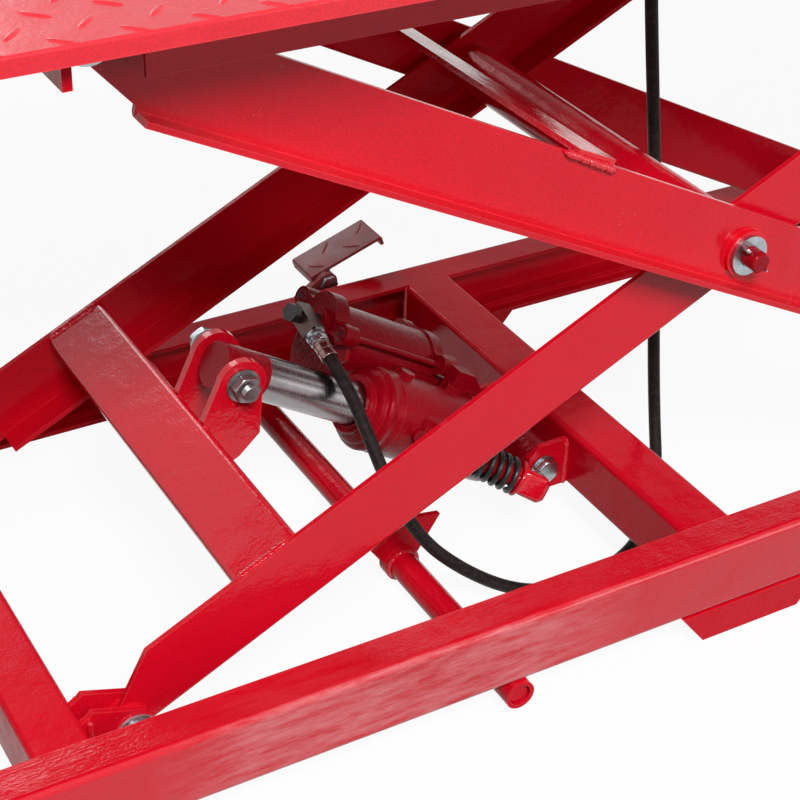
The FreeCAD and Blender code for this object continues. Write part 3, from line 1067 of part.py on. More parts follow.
def knuckles(name, wanted):
    """Hinge knuckles with their leaves, every other one, bored for the pin."""
    side = -1 if wanted == 0 else 1
    pieces = []
    for index in range(5):
        if index % 2 != wanted:
            continue
        start = "-ramp_width / 2 + %d * %s + running_gap" % (index, knuckle)
        pieces.append(rod("%s_barrel_%d" % (name, index), "hinge_radius", knuckle + " - 2 * running_gap",
                          (hinge_x, start, hinge_z)))
        leaf_x = hinge_x + " - ramp_gap / 2 - 30" if side < 0 else hinge_x
        pieces.append(block("%s_leaf_%d" % (name, index), ("ramp_gap / 2 + 30", knuckle + " - 2 * running_gap", "4"),
                            (leaf_x, start, sheet_low + " - 4")))
    return pieces


pin_bore = rod("hinge_bore_fixed", "hinge_bore + fit_gap", "ramp_width + 2", (hinge_x, "-ramp_width / 2 - 1", hinge_z))
pin = rod("hinge_pin_rod", "hinge_bore", "ramp_width", (hinge_x, "-ramp_width / 2", hinge_z))
fixed_half = cut("hinge_fixed_cut", fuse("hinge_fixed_all", knuckles("hinge_fixed", 0)), [pin_bore])
keep(group("hinge_group", [fixed_half, pin]), "ramp_hinge", DECK)
ramp_bore = rod("hinge_bore_ramp", "hinge_bore + fit_gap", "ramp_width + 2", (hinge_x, "-ramp_width / 2 - 1", hinge_z))
ramp_sheet = block("ramp_sheet", ("ramp_length", "ramp_width", "deck_sheet"), (ramp_start, "-ramp_width / 2", sheet_low))
ramp_sides = []
for side, word in ((-1, "near"), (1, "far")):
    start = "-ramp_width / 2" if side < 0 else "ramp_width / 2 - deck_sheet"
    ramp_sides.append(block("ramp_side_" + word, ("ramp_length", "deck_sheet", "deck_skirt"), (ramp_start, start, skirt_low)))
keep(cut("ramp_cut", fuse("ramp_all", [ramp_sheet] + ramp_sides + knuckles("ramp_leafs", 1)), [ramp_bore]), "ramp", DECK)

# Wheel vise at the front of the platform: base, fixed jaw, sliding jaw and its screw.
vise_y = "vise_open / 2"
base_plate = block("vise_base_plate", ("vise_jaw_length", "vise_open + 140", "vise_base_wall"),
                   ("vise_x", "-%s - 70" % vise_y, sheet_top))
fixed = block("vise_fixed_jaw", ("vise_jaw_length", "vise_jaw_wall", "vise_jaw_height"),
              ("vise_x", vise_y, sheet_top + " + vise_base_wall"))
gussets = []
for index, place in enumerate(("vise_x", "vise_x + vise_jaw_length - vise_jaw_wall")):
    gussets.append(block("vise_gusset_%d" % index, ("vise_jaw_wall", "40", "0.7 * vise_jaw_height"),
                         (place, vise_y + " + vise_jaw_wall - 1", sheet_top + " + vise_base_wall")))
screw_x = "(vise_x + vise_jaw_length / 2)"
screw_z = "(%s + vise_base_wall + vise_screw_rise)" % sheet_top
nut_post = block("vise_nut_post", ("2 * vise_nut", "vise_nut", "vise_screw_rise + vise_nut"),
                 (screw_x + " - vise_nut", "-%s - 70" % vise_y, sheet_top + " + vise_base_wall"))
nut_bore = rod("vise_nut_bore", "vise_screw + fit_gap", "vise_nut + 2", (screw_x, "-%s - 71" % vise_y, screw_z))
keep(cut("vise_base_cut", fuse("vise_base_all", [base_plate, fixed, nut_post] + gussets), [nut_bore]), "vise_base", DECK)
jaw_y = "(-%s - vise_jaw_wall)" % vise_y
jaw = block("vise_jaw_plate", ("vise_jaw_length", "vise_jaw_wall", "vise_jaw_height"),
            ("vise_x", jaw_y, sheet_top + " + vise_base_wall + running_gap"))
jaw_boss = rod("vise_jaw_boss", "vise_nut", "12", (screw_x, jaw_y + " - 12", screw_z))
jaw_bore = rod("vise_jaw_bore", "vise_screw + fit_gap", "11.7", (screw_x, jaw_y + " - 12.1", screw_z))
keep(cut("vise_jaw_cut", fuse("vise_jaw_all", [jaw, jaw_boss]), [jaw_bore]), "vise_jaw", DECK)
screw_start = "(%s - 12 - vise_handle)" % jaw_y
vise_screw = fuse("vise_screw_all", [
    rod("vise_screw_rod", "vise_screw", "vise_handle + 11.3", (screw_x, screw_start, screw_z)),
    rod("vise_screw_head", "1.6 * vise_screw", "2.5 * vise_screw", (screw_x, screw_start + " - 2.5 * vise_screw", screw_z)),
    rod("vise_screw_bar", "vise_handle_wire", "vise_handle",
        (screw_x + " - vise_handle / 2", screw_start + " - 1.2 * vise_screw", screw_z), "x")])
keep(vise_screw, "vise_screw", DECK)

# Fitting for the hose under the platform.
end_x, end_y = str(HOSE_ROUTE[-1][0]), str(HOSE_ROUTE[-1][1])
fitting_low = str(HOSE_ROUTE[-1][2] - UPPER.z)
fitting = fuse("hose_fitting_all", [
    rod("hose_fitting_stem", "ferrule_radius + 1", "%s - (%s) + 14" % (sheet_low, fitting_low),
        (end_x, end_y, fitting_low + " - 14"), "z"),
    rod("hose_fitting_flange", "2 * ferrule_radius", "deck_track_wall", (end_x, end_y, sheet_low + " - deck_track_wall"), "z")])
lean_line = hose_edges[-1]
fit_bore = doc.addObject("Part::Feature", "hose_fitting_bore")
hose_way = (route[-1] - route[-2]).normalize()
bore_start = route[-1] - Vector(0, 0, UPPER.z) - hose_way * 40
fit_bore.Shape = Part.makeCylinder(val("hose_radius + running_gap"), 40.5, bore_start, hose_way)
keep(cut("hose_fitting_cut", fitting, [fit_bore]), "hose_fitting", DECK)

# Check every object, then write one file per sub-part.
doc.recompute()
for item in doc.Objects:
    if "Invalid" in item.State or "Error" in item.State:
        raise RuntimeError("object in error: " + item.Label)
for node, item in NODES.items():
    if item.Shape.isNull() or not item.Shape.isValid():
        raise RuntimeError("bad shape: " + node)
os.makedirs("parts", exist_ok=True)
low = [min(getattr(item.Shape.BoundBox, side) for item in NODES.values()) for side in ("XMin", "YMin", "ZMin")]
high = [max(getattr(item.Shape.BoundBox, side) for item in NODES.values()) for side in ("XMax", "YMax", "ZMax")]
print("nodes", len(NODES), "outline", low, high)
for node, item in NODES.items():
    item.Shape.exportStep("parts/%s.step" % node)
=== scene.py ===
import bpy
import bmesh
import math
import random
from mathutils import Vector, Matrix, noise


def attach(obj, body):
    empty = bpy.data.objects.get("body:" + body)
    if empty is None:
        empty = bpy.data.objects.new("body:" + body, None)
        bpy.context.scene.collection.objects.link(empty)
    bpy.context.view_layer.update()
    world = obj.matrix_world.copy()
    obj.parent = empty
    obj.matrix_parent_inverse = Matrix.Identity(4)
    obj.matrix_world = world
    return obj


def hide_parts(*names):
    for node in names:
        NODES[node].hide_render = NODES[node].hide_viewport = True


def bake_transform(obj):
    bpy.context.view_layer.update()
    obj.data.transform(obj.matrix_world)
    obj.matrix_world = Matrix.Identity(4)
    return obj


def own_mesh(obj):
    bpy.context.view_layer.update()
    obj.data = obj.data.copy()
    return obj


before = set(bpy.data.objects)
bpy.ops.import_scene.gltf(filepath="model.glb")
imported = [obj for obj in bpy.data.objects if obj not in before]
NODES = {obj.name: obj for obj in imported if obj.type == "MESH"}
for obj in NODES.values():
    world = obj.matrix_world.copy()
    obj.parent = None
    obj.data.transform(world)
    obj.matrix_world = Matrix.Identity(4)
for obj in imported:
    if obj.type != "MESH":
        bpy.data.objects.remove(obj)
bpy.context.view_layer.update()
scene = bpy.context.scene
MM = 0.001
TURN = 2 * math.pi
X_AXIS, Y_AXIS, Z_AXIS = Vector((1, 0, 0)), Vector((0, 1, 0)), Vector((0, 0, 1))


def at(x, y, z):
    """Point of the row frame, given in millimetres."""
    return Vector((x, y, z)) * MM


# Pivots of the lift, where the part has them. ROW_X is the x of the base pivot.
ROW_X = -944.0
BASE_PIVOT = at(ROW_X, 0, 75.5)
CENTRE = at(-345.445, 0, 394.519)
RAM_PIN = at(-739.712, 0, 246.319)
HEEL = at(-416.3, 0, 72.0)
DROOP = math.radians(30.9767)
JACK = Matrix.Translation(RAM_PIN) @ Matrix.Rotation(DROOP, 4, "Y")

# Camera solved from the straight edges in the photo.
YAW, PITCH, ROLL = (math.radians(angle) for angle in (-30.22, -33.34, 1.77))
EYE = Vector((-1.34495, -1.31449, 1.16678))
LENS, SENSOR, SHIFT_X, SHIFT_Y = 81.70, 36.0, 0.0316, -0.0032
ahead = Vector((-math.sin(YAW) * math.cos(PITCH), math.cos(YAW) * math.cos(PITCH), math.sin(PITCH)))
level = Vector((math.cos(YAW), math.sin(YAW), 0.0))
above = level.cross(ahead)
right = level * math.cos(ROLL) + above * math.sin(ROLL)
up = above * math.cos(ROLL) - level * math.sin(ROLL)
camera = bpy.data.objects.new("camera", bpy.data.cameras.new("camera"))
camera.matrix_world = Matrix((
    (right.x, up.x, -ahead.x, EYE.x), (right.y, up.y, -ahead.y, EYE.y),
    (right.z, up.z, -ahead.z, EYE.z), (0, 0, 0, 1)))
camera.data.lens = LENS
camera.data.sensor_width = SENSOR
camera.data.shift_x = SHIFT_X
camera.data.shift_y = SHIFT_Y
camera.data.clip_end = 50.0
scene.collection.objects.link(camera)
scene.camera = camera


class Nodes:
    """Short hand for building one material's node tree."""

    def __init__(self, name):
        self.mat = bpy.data.materials.new(name)
        self.mat.use_nodes = True
        self.tree = self.mat.node_tree
        self.shader = self.tree.nodes["Principled BSDF"]

    def add(self, kind, **inputs):
        node = self.tree.nodes.new("ShaderNode" + kind)
        for key, value in inputs.items():
            key = key.replace("_", " ")
            if isinstance(value, bpy.types.NodeSocket):
                self.tree.links.new(value, node.inputs[key])
            else:
                node.inputs[key].default_value = value
        return node

    def link(self, source, node, index):
        self.tree.links.new(source, node.inputs[index])

    def place(self, scale=(1, 1, 1), turn=(0, 0, 0), kind="Object"):
        """Texture place in metres of the row frame, stretched by scale."""
        coords = self.tree.nodes.new("ShaderNodeTexCoord")
        mapping = self.tree.nodes.new("ShaderNodeMapping")
        mapping.inputs["Scale"].default_value = scale
        mapping.inputs["Rotation"].default_value = turn
        self.tree.links.new(coords.outputs[kind], mapping.inputs["Vector"])
        return mapping.outputs["Vector"]

    def noise(self, place, scale, detail=3.0, rough=0.5):
        node = self.add("TexNoise", Vector=place, Scale=scale, Detail=detail, Roughness=rough)
        return node.outputs["Fac"]

    def ramp(self, value, low, high, out_low=0.0, out_high=1.0):
        node = self.add("MapRange", Value=value, From_Min=low, From_Max=high, To_Min=out_low, To_Max=out_high)
        return node.outputs["Result"]

    def maths(self, what, first, second=0.0):
        node = self.tree.nodes.new("ShaderNodeMath")
        node.operation = what
        for index, value in enumerate((first, second)):
            if isinstance(value, bpy.types.NodeSocket):
                self.link(value, node, index)
            else:
                node.inputs[index].default_value = value
        return node.outputs["Value"]

    def blend(self, share, first, second):
        """Colour that goes from first to second as share goes from 0 to 1."""
        node = self.tree.nodes.new("ShaderNodeMix")
        node.data_type = "RGBA"
        self.tree.links.new(share, node.inputs["Factor"])
        for key, value in (("A", first), ("B", second)):
            socket = [s for s in node.inputs if s.name == key and s.type == "RGBA"][0]
            if isinstance(value, bpy.types.NodeSocket):
                self.tree.links.new(value, socket)
            else:
                socket.default_value = (*value, 1.0)
        return [s for s in node.outputs if s.type == "RGBA"][0]

    def edge_mask(self, radius):
        """Near 1 on outer edges and 0 on flats: edges where paint or oxide wears, and where the red paint also gets a
        painted highlight.
        """
        soft = self.tree.nodes.new("ShaderNodeBevel")
        soft.samples = 3
        soft.inputs["Radius"].default_value = radius
        plain = self.tree.nodes.new("ShaderNodeNewGeometry")
        dot = self.tree.nodes.new("ShaderNodeVectorMath")
        dot.operation = "DOT_PRODUCT"
        self.link(soft.outputs["Normal"], dot, 0)
        self.link(plain.outputs["Normal"], dot, 1)
        return self.ramp(dot.outputs["Value"], 0.995, 0.90)

    def relief(self, *layers):
        """Bump made of (height, strength, distance) layers."""
        last = None
        for height, strength, distance in layers:
            node = self.add("Bump", Height=height, Strength=strength, Distance=distance)
            if last:
                self.tree.links.new(last, node.inputs["Normal"])
            last = node.outputs["Normal"]
        self.tree.links.new(last, self.shader.inputs["Normal"])

    def set(self, **values):
        for key, value in values.items():
            socket = self.shader.inputs[key.replace("_", " ")]
            if isinstance(value, bpy.types.NodeSocket):
                self.tree.links.new(value, socket)
            else:
                socket.default_value = value


# Colours that show through or lie on the red paint. The thin-paint colour of the edges also stands for a painted
# highlight, and the sheen colour is a painted reflection.
THIN_PAINT_AND_HIGHLIGHT, SPECK, GRIME, PAINTED_SHEEN = (0.95, 0.05, 0.06), (0.62, 0.30, 0.28), (0.19, 0.075, 0.075), (0.80, 0.26, 0.28)


def scaled(colour, factor):
    return tuple(factor * c for c in colour)


def red_paint(name, colour=(0.62, 0.003, 0.016), rough=0.13, gloss=0.12, peel=0.45, streak=None, cast=0.0,
              edge_wear_and_highlight=0.85, specks=0.62, dust=0.0, sheen_run=None, tint=1.0):
    """Glossy red enamel: orange peel, uneven tone and gloss, paint thinned on edges and lightened there as a painted
    highlight, sparse pale specks.

    streak stretches a second relief, cast adds that of a casting, the run of x (metres) after dust gets a painted
    reflection of pale streaks on the near face, and tint is how white the gloss is.
    """
    made = Nodes(name)
    place = made.place()
    drift = made.noise(place, 4.0, 3.0)
    tone = made.blend(made.ramp(drift, 0.34, 0.66), scaled(colour, 0.93), scaled(colour, 1.06))
    grain = made.noise(place, 900.0, 2.0)
    tone = made.blend(made.ramp(grain, 0.42, 0.68, 0.0, 0.42), tone, scaled(colour, 1.55))
    patches = made.ramp(made.noise(place, 60.0, 4.0), 0.30, 0.52, 0.35, 1.0)
    # Edges: paint thinned by wear, and lightened further as a painted highlight.
    edge = made.maths("MULTIPLY", made.edge_mask(0.0015), patches)
    tone = made.blend(made.maths("MULTIPLY", edge, edge_wear_and_highlight), tone, THIN_PAINT_AND_HIGHLIGHT)
    cells = made.add("TexVoronoi", Vector=place, Scale=170.0)
    spot = made.ramp(cells.outputs["Distance"], 0.10, 0.05)
    spot = made.maths("MULTIPLY", spot, made.ramp(made.noise(place, 19.0, 2.0), specks, specks + 0.05))
    tone = made.blend(made.maths("MULTIPLY", spot, 0.7), tone, SPECK)
    if dust:
        grime = made.ramp(made.noise(place, 60.0, 5.0, 0.7), 0.35, 0.62, 0.35 * dust, dust)
        tone = made.blend(grime, tone, GRIME)
    # Painted reflection: pale streaks along x over a run of x, strongest on faces turned to -y.
    if sheen_run:
        start, end = sheen_run
        along = made.add("SeparateXYZ", Vector=made.place()).outputs["X"]
        sheen_zone = made.maths("MULTIPLY", made.ramp(along, start, start + 0.10), made.ramp(along, end + 0.12, end))
        normal = made.add("SeparateXYZ", Vector=made.add("NewGeometry").outputs["Normal"]).outputs["Y"]
        sheen_zone = made.maths("MULTIPLY", sheen_zone, made.ramp(normal, -0.3, -0.7, 0.12, 1.0))
        sheen_streaks = made.ramp(made.noise(made.place((0.16, 1.0, 1.0)), 85.0, 5.0, 0.75), 0.38, 0.62)
        tone = made.blend(made.maths("MULTIPLY", made.maths("MULTIPLY", sheen_zone, sheen_streaks), 0.62), tone, PAINTED_SHEEN)
    shine = made.ramp(made.noise(place, 11.0, 4.0), 0.3, 0.7, rough * 0.7, rough * 1.35)
    made.set(Base_Color=tone, Roughness=shine, Specular_IOR_Level=gloss, Specular_Tint=(1.0, tint, tint, 1.0))
    layers = [(made.noise(place, 300.0, 2.0), peel, 0.0005), (made.noise(place, 24.0, 2.0), peel, 0.0030)]
    if streak:
        layers.append((made.noise(made.place(streak), 260.0, 4.0, 0.7), 0.30, 0.0007))
    if cast:
        layers.append((made.noise(place, 190.0, 4.0, 0.65), cast, 0.0012))
    made.relief(*layers)
    return made.mat


def bare_metal(name, colour, rough, spread=0.12, grain=(1, 1, 1), turn=(0, 0, 0), fine=600.0, bump=0.05,
               stain=(0.20, 0.16, 0.13), stained=0.25):
    """Plated or ground metal with uneven tone, fine marks and a little dirt."""
    made = Nodes(name)
    place = made.place()
    patch = made.noise(place, 90.0, 4.0, 0.6)
    marks = made.noise(made.place(grain, turn), fine, 3.0, 0.6)
    tone = made.blend(made.ramp(patch, 0.3, 0.7), tuple(c * (1 - spread) for c in colour),
                      tuple(min(1.0, c * (1 + spread)) for c in colour))
    tone = made.blend(made.ramp(made.noise(place, 140.0, 5.0, 0.7), 0.52, 0.80, 0.0, stained), tone, stain)
    made.set(Base_Color=tone, Metallic=1.0, Roughness=made.ramp(marks, 0.3, 0.7, rough * 0.75, rough * 1.3))
    made.relief((marks, bump, 0.0004))
    return made.mat


def black_finish(name):
    """Dark oxide on steel, rubbed to metal on its edges."""
    made = Nodes(name)
    place = made.place()
    edge = made.maths("MULTIPLY", made.edge_mask(0.0008), made.ramp(made.noise(place, 500.0, 4.0), 0.42, 0.6))
    patch = made.ramp(made.noise(place, 120.0, 4.0), 0.3, 0.7)
    base = made.blend(patch, (0.012, 0.011, 0.012), (0.045, 0.04, 0.04))
    made.set(Base_Color=made.blend(made.maths("MULTIPLY", edge, 0.6), base, (0.25, 0.23, 0.22)),
             Metallic=0.35, Roughness=made.ramp(made.noise(place, 200.0, 3.0), 0.3, 0.7, 0.26, 0.46),
             Specular_IOR_Level=0.6)
    made.relief((made.noise(place, 900.0, 3.0), 0.25, 0.0004))
    return made.mat


def hose_rubber(name):
    """Cloth-wrapped rubber: fine slanted weave marks, scuffs and dust."""
    made = Nodes(name)
    around = made.place(kind="UV")
    weave = []
    for lean in (0.9, -0.9):
        band = made.add("TexWave", Vector=made.place((1, 1, 1), (0, 0, lean), "UV"), Scale=330.0, Distortion=1.2,
                        Detail=2.0)
        weave.append(band.outputs["Fac"])
    cloth = made.maths("MULTIPLY", *weave)
    place = made.place()
    scuff = made.ramp(made.noise(around, 150.0, 5.0, 0.7), 0.50, 0.72)
    patch = made.ramp(made.noise(place, 45.0, 4.0), 0.3, 0.7)
    tone = made.blend(patch, (0.007, 0.0045, 0.0042), (0.017, 0.0115, 0.0100))
    tone = made.blend(made.maths("MULTIPLY", scuff, 0.5), tone, (0.085, 0.060, 0.052))
    made.set(Base_Color=tone, Roughness=made.ramp(scuff, 0.0, 1.0, 0.40, 0.62), Specular_IOR_Level=0.14)
    made.relief((cloth, 0.5, 0.0004), (made.noise(place, 700.0, 4.0), 0.35, 0.0005))
    return made.mat


RED = red_paint("red_gloss", tint=0.35)
RED_FRONT = red_paint("red_front", gloss=0.26)
RED_BEAM = red_paint("red_beam", gloss=0.10, rough=0.28, tint=0.5)
RED_BRIGHT = red_paint("red_bright", gloss=0.42, rough=0.11)
RED_RAIL = red_paint("red_rail", gloss=0.45, rough=0.12, streak=(0.05, 1.3, 1.3), sheen_run=(-0.96, -0.58))
# Cast red: its dark colour is painted shade for the jack under the deck; the cast relief is real.
RED_CAST_SHADED = red_paint("red_cast_shaded", colour=(0.27, 0.0015, 0.008), rough=0.12, gloss=0.17, peel=0.3, cast=0.7,
                     edge_wear_and_highlight=0.4, tint=0.35)
RED_BEAD = red_paint("red_weld", rough=0.12, gloss=0.5, peel=0.3, cast=0.2, specks=0.7, edge_wear_and_highlight=0.3)
RED_DUSTY = red_paint("red_dusty", colour=(0.34, 0.006, 0.012), rough=0.42, gloss=0.4, dust=0.72, specks=0.60)
# Deck red: lighter than the other reds, as painted light for its brightly lit top.
RED_DECK_LIT = red_paint("red_deck_lit", colour=(0.68, 0.012, 0.026), rough=0.24, gloss=0.5, specks=0.66)
ZINC = bare_metal("zinc_plate", (0.42, 0.47, 0.50), 0.30, spread=0.15, stained=0.25)
ZINC_PALE = bare_metal("zinc_pale", (0.66, 0.72, 0.76), 0.42, spread=0.2, stained=0.3)
ZINC_OLD = bare_metal("zinc_old", (0.27, 0.255, 0.26), 0.34, spread=0.2, stained=0.45)
CHROME = bare_metal("ground_chrome", (0.31, 0.29, 0.30), 0.24, grain=(1.0, 0.02, 0.02), turn=(0, DROOP, 0),
                    fine=1300.0, bump=0.05, stained=0.12, spread=0.06)
STEEL = bare_metal("plain_steel", (0.36, 0.35, 0.34), 0.36)
BRONZE = bare_metal("bronze_steel", (0.105, 0.068, 0.062), 0.30, stain=(0.20, 0.12, 0.10))
CRIMP = bare_metal("crimp_steel", (0.34, 0.22, 0.20), 0.26, stain=(0.10, 0.04, 0.04), stained=0.6)
BLACK = black_finish("black_steel")
RUBBER = hose_rubber("hose_cloth")

# Slot of the record for each material, and material of each node that isn't plain red.
SLOTS = {mat: "red_paint" for mat in (RED, RED_FRONT, RED_BEAM, RED_BRIGHT, RED_RAIL, RED_CAST_SHADED, RED_BEAD, RED_DUSTY,
                                      RED_DECK_LIT)}
SLOTS.update({ZINC: "zinc", ZINC_PALE: "zinc", ZINC_OLD: "zinc", CHROME: "chrome_rod", STEEL: "plain_steel",
              BRONZE: "plain_steel", CRIMP: "plain_steel", BLACK: "black_oxide", RUBBER: "hose_rubber"})
FINISH = {
    "ram_rod": CHROME, "banjo_bolt": BLACK, "banjo_block": BRONZE, "vise_screw": STEEL, "pedal_bolt": ZINC,
    "jack_cylinder": RED_CAST_SHADED, "ram_head": RED_CAST_SHADED, "air_motor_cap": RED_CAST_SHADED, "air_motor_barrel": RED_CAST_SHADED,
    "air_motor_rods": RED_CAST_SHADED, "base_rail_near": RED_RAIL, "inner_arm_near": RED_FRONT,
    "inner_crossbar": RED_BRIGHT, "end_crossbeams": RED_BEAM, "brace_flat_bar": RED_BRIGHT,
    "outer_arm_near": RED_FRONT, "ram_ears": RED_BRIGHT, "centre_bosses": RED_FRONT, "deck_tracks": RED_FRONT,
    "pedal_plate": RED_DUSTY, "pedal_arm": RED_DUSTY, "deck_plate": RED_DECK_LIT, "ramp": RED_DECK_LIT,
}
for name in ("centre_washers", "platform_pins", "upper_roller_pins", "lower_roller_pins", "hose_fitting"):
    FINISH[name] = ZINC
for name in ("lower_roller_near", "lower_roller_far", "upper_roller_near", "upper_roller_far"):
    FINISH[name] = STEEL
EDGE_SECTION, EDGE_PLATE = 0.0010, 0.0007


def dress(obj, mat, edge=0.0, sharp=32):
    """Material, smooth shading with sharp edges kept, and a small rounding of the edges."""
    obj.data.materials.clear()
    obj.data.materials.append(mat)
    obj.data.shade_smooth()
    obj.data.set_sharp_from_angle(angle=math.radians(sharp))
    if edge:
        bevel = obj.modifiers.new("edges", "BEVEL")
        bevel.width = edge
        bevel.segments = 2
        bevel.limit_method = "ANGLE"
        bevel.angle_limit = math.radians(40)
        bevel.harden_normals = True


for name, obj in NODES.items():
    section = any(word in name for word in ("arm", "rail", "beam"))
    dress(obj, FINISH.get(name, RED), EDGE_SECTION if section else EDGE_PLATE)


def piece(name, shells, mat, body, replaced=(), sharp=32, uvs=None):
    """One object from (points, faces) shells, on a CAD body, in a material of the record's slots."""
    points, faces = [], []
    for shell_points, shell_faces in shells:
        first = len(points)
        points.extend(shell_points)
        faces.extend([tuple(first + index for index in face) for face in shell_faces])
    mesh = bpy.data.meshes.new(name)
    mesh.from_pydata([tuple(p) for p in points], [], faces)
    if uvs:
        layer = mesh.uv_layers.new(name="along")
        for loop in mesh.loops:
            layer.data[loop.index].uv = uvs[loop.vertex_index]
    mesh.validate()
    obj = bpy.data.objects.new(name, mesh)
    scene.collection.objects.link(obj)
    dress(obj, mat, 0.0, sharp)
    if body:
        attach(obj, body)
    if replaced:
        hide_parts(*replaced)
    return obj


def standing(origin, way, side=None):
    """Matrix at origin whose z runs along way, and whose x leans to side."""
    z = Vector(way).normalized()
    lean = Vector(side) if side else (Z_AXIS if abs(z.z) < 0.9 else X_AXIS)
    x = (lean - z * lean.dot(z)).normalized()
    y = z.cross(x)
    return Matrix(((x.x, y.x, z.x, origin.x), (x.y, y.y, z.y, origin.y), (x.z, y.z, z.z, origin.z), (0, 0, 0, 1)))


def turned(place, rings, shape=None, segments=48):
    """Closed turned shell from (height, radius) rings in millimetres; shape may change a radius by its angle."""
    points, faces = [], []
    for height, radius in rings:
        for k in range(segments):
            angle = TURN * k / segments
            r = shape(angle, height, radius) if shape else radius
            points.append(place @ at(r * math.cos(angle), r * math.sin(angle), height))
    for row in range(len(rings) - 1):
        for k in range(segments):
            a, b = row * segments + k, row * segments + (k + 1) % segments
            faces.append((a, b, b + segments, a + segments))
    faces.append(tuple(range(segments - 1, -1, -1)))
    last = (len(rings) - 1) * segments
    faces.append(tuple(range(last, last + segments)))
    return points, faces


def many_sided(flat, sides=6):
    """Radius limit of a prism with that distance from axis to flat."""
    step = TURN / sides

    def shape(angle, height, radius):
        return min(radius, flat / math.cos((angle + step / 2) % step - step / 2))
    return shape


def disc(place, start, length, radius, round_off=0.6):
    """Disc or shaft with rounded rims."""
    cut = min(round_off, length / 2.2)
    return turned(place, [(start, radius - cut), (start + 0.3 * cut, radius - 0.3 * cut), (start + cut, radius),
                          (start + length - cut, radius), (start + length - 0.3 * cut, radius - 0.3 * cut),
                          (start + length, radius - cut)])


def hexed(place, start, length, flat):
    """Nut or bolt head with its corners chamfered at both faces."""
    profile = ((0.0, 0.93), (0.02, 0.98), (0.05, 1.04), (0.09, 1.10), (0.14, 1.17))
    rings = [(start + drop * flat, reach * flat) for drop, reach in profile]
    rings += [(start + length - drop * flat, reach * flat) for drop, reach in reversed(profile)]
    return turned(place, rings, many_sided(flat), 72)


def threaded(place, start, length, radius, pitch=1.75, depth=0.9):
    """Threaded stub: the ridge runs round as a helix, and the free end is chamfered."""
    steps = int(length / pitch * 8)

    def shape(angle, height, limit):
        groove = abs(2 * ((height / pitch - angle / TURN) % 1) - 1)
        return min(limit, radius - depth * groove)
    rings = [(start + length * k / steps, radius) for k in range(steps)]
    rings += [(start + length - 0.9, radius - 0.5), (start + length, radius - 1.5)]
    rings.sort()
    return turned(place, rings, shape, 36)


def smooth_line(points, detail=12):
    """Points read from a NURBS line whose control points are given."""
    curve = bpy.data.curves.new("line", "CURVE")
    curve.dimensions = "3D"
    spline = curve.splines.new("NURBS")
    spline.points.add(len(points) - 1)
    for target, point in zip(spline.points, points):
        target.co = (*point, 1.0)
    spline.order_u = 3
    spline.use_endpoint_u = True
    spline.resolution_u = detail
    obj = bpy.data.objects.new("line", curve)
    mesh = bpy.data.meshes.new_from_object(obj)
    line = [v.co.copy() for v in mesh.vertices]
    bpy.data.meshes.remove(mesh)
    bpy.data.objects.remove(obj)
    bpy.data.curves.remove(curve)
    return line


def tube(line, radius, segments=20, swell=None):
    """Round tube on a line of points, with its ends closed, and the angle and length of each point."""
    points, faces, uvs = [], [], []
    way = (line[1] - line[0]).normalized()
    side = way.cross(Z_AXIS if abs(way.z) < 0.9 else X_AXIS).normalized()
    run = 0.0
    for k, centre in enumerate(line):
        after = line[min(k + 1, len(line) - 1)]
        before = line[max(k - 1, 0)]
        way = (after - before).normalized()
        side = (side - way * side.dot(way)).normalized()
        other = way.cross(side)
        if k:
            run += (centre - line[k - 1]).length
        for s in range(segments):
            angle = TURN * s / segments
            r = radius * (swell(run, angle) if swell else 1.0)
            points.append(centre + side * (r * math.cos(angle)) + other * (r * math.sin(angle)))
            uvs.append((angle * radius, run))
    for row in range(len(line) - 1):
        for s in range(segments):
            a, b = row * segments + s, row * segments + (s + 1) % segments
            faces.append((a, b, b + segments, a + segments))
    faces.append(tuple(range(segments - 1, -1, -1)))
    last = (len(line) - 1) * segments
    faces.append(tuple(range(last, last + segments)))
    return (points, faces), uvs


def length_of(line):
    return sum((b - a).length for a, b in zip(line, line[1:]))


# Air hose. The route's points are those of the part; the hose is one line, held as two cords that meet
# on the floor, because the jack turns at one end and the platform sinks at the other. With the lift down
# the part under the deck keeps 0.32 of its height.
HOSE_RADIUS = 0.0065
HOSE = [
    (318.52, 11.24, 220.17), (319.6, -24.0, 207.5), (317.0, -68.0, 182.0), (322.0, -108.0, 136.0),
    (342.0, -137.0, 88.0), (381.2, -152.0, 48.0), (429.4, -166.0, 15.5), (472.0, -179.0, 6.5),
    (556.0, -176.0, 6.5), (622.0, -138.0, 6.5), (668.0, -90.0, 24.0), (684.0, -52.0, 86.0),
    (680.0, -38.0, 186.0), (675.6, -22.0, 326.0), (659.6, -10.0, 476.0), (641.6, -8.0, 606.0),
    (634.6, -6.0, 694.0)]
HOSE_SPLIT = at(-430.0, -177.5, 6.5)
hose_line = smooth_line([at(x + ROW_X, y, z) for x, y, z in HOSE], 24)
middle = min(range(len(hose_line)), key=lambda k: (hose_line[k] - HOSE_SPLIT).length)
jack_part, deck_part = hose_line[:middle + 1], hose_line[middle:]


def scuffed(run, angle):
    """Slight unevenness of the cloth wrap."""
    return 1.0 + 0.012 * noise.noise(Vector((run * 90.0, math.cos(angle) * 1.5, math.sin(angle) * 1.5)))


for name, line in (("hose_jack_side", jack_part), ("hose_deck_side", deck_part)):
    shell, uvs = tube(line, HOSE_RADIUS, 24, scuffed)
    obj = piece(name, [shell], RUBBER, None, ["air_hose"], uvs=uvs)
    if name == "hose_jack_side":
        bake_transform(obj)
    else:
        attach(obj, "base")
        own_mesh(obj)

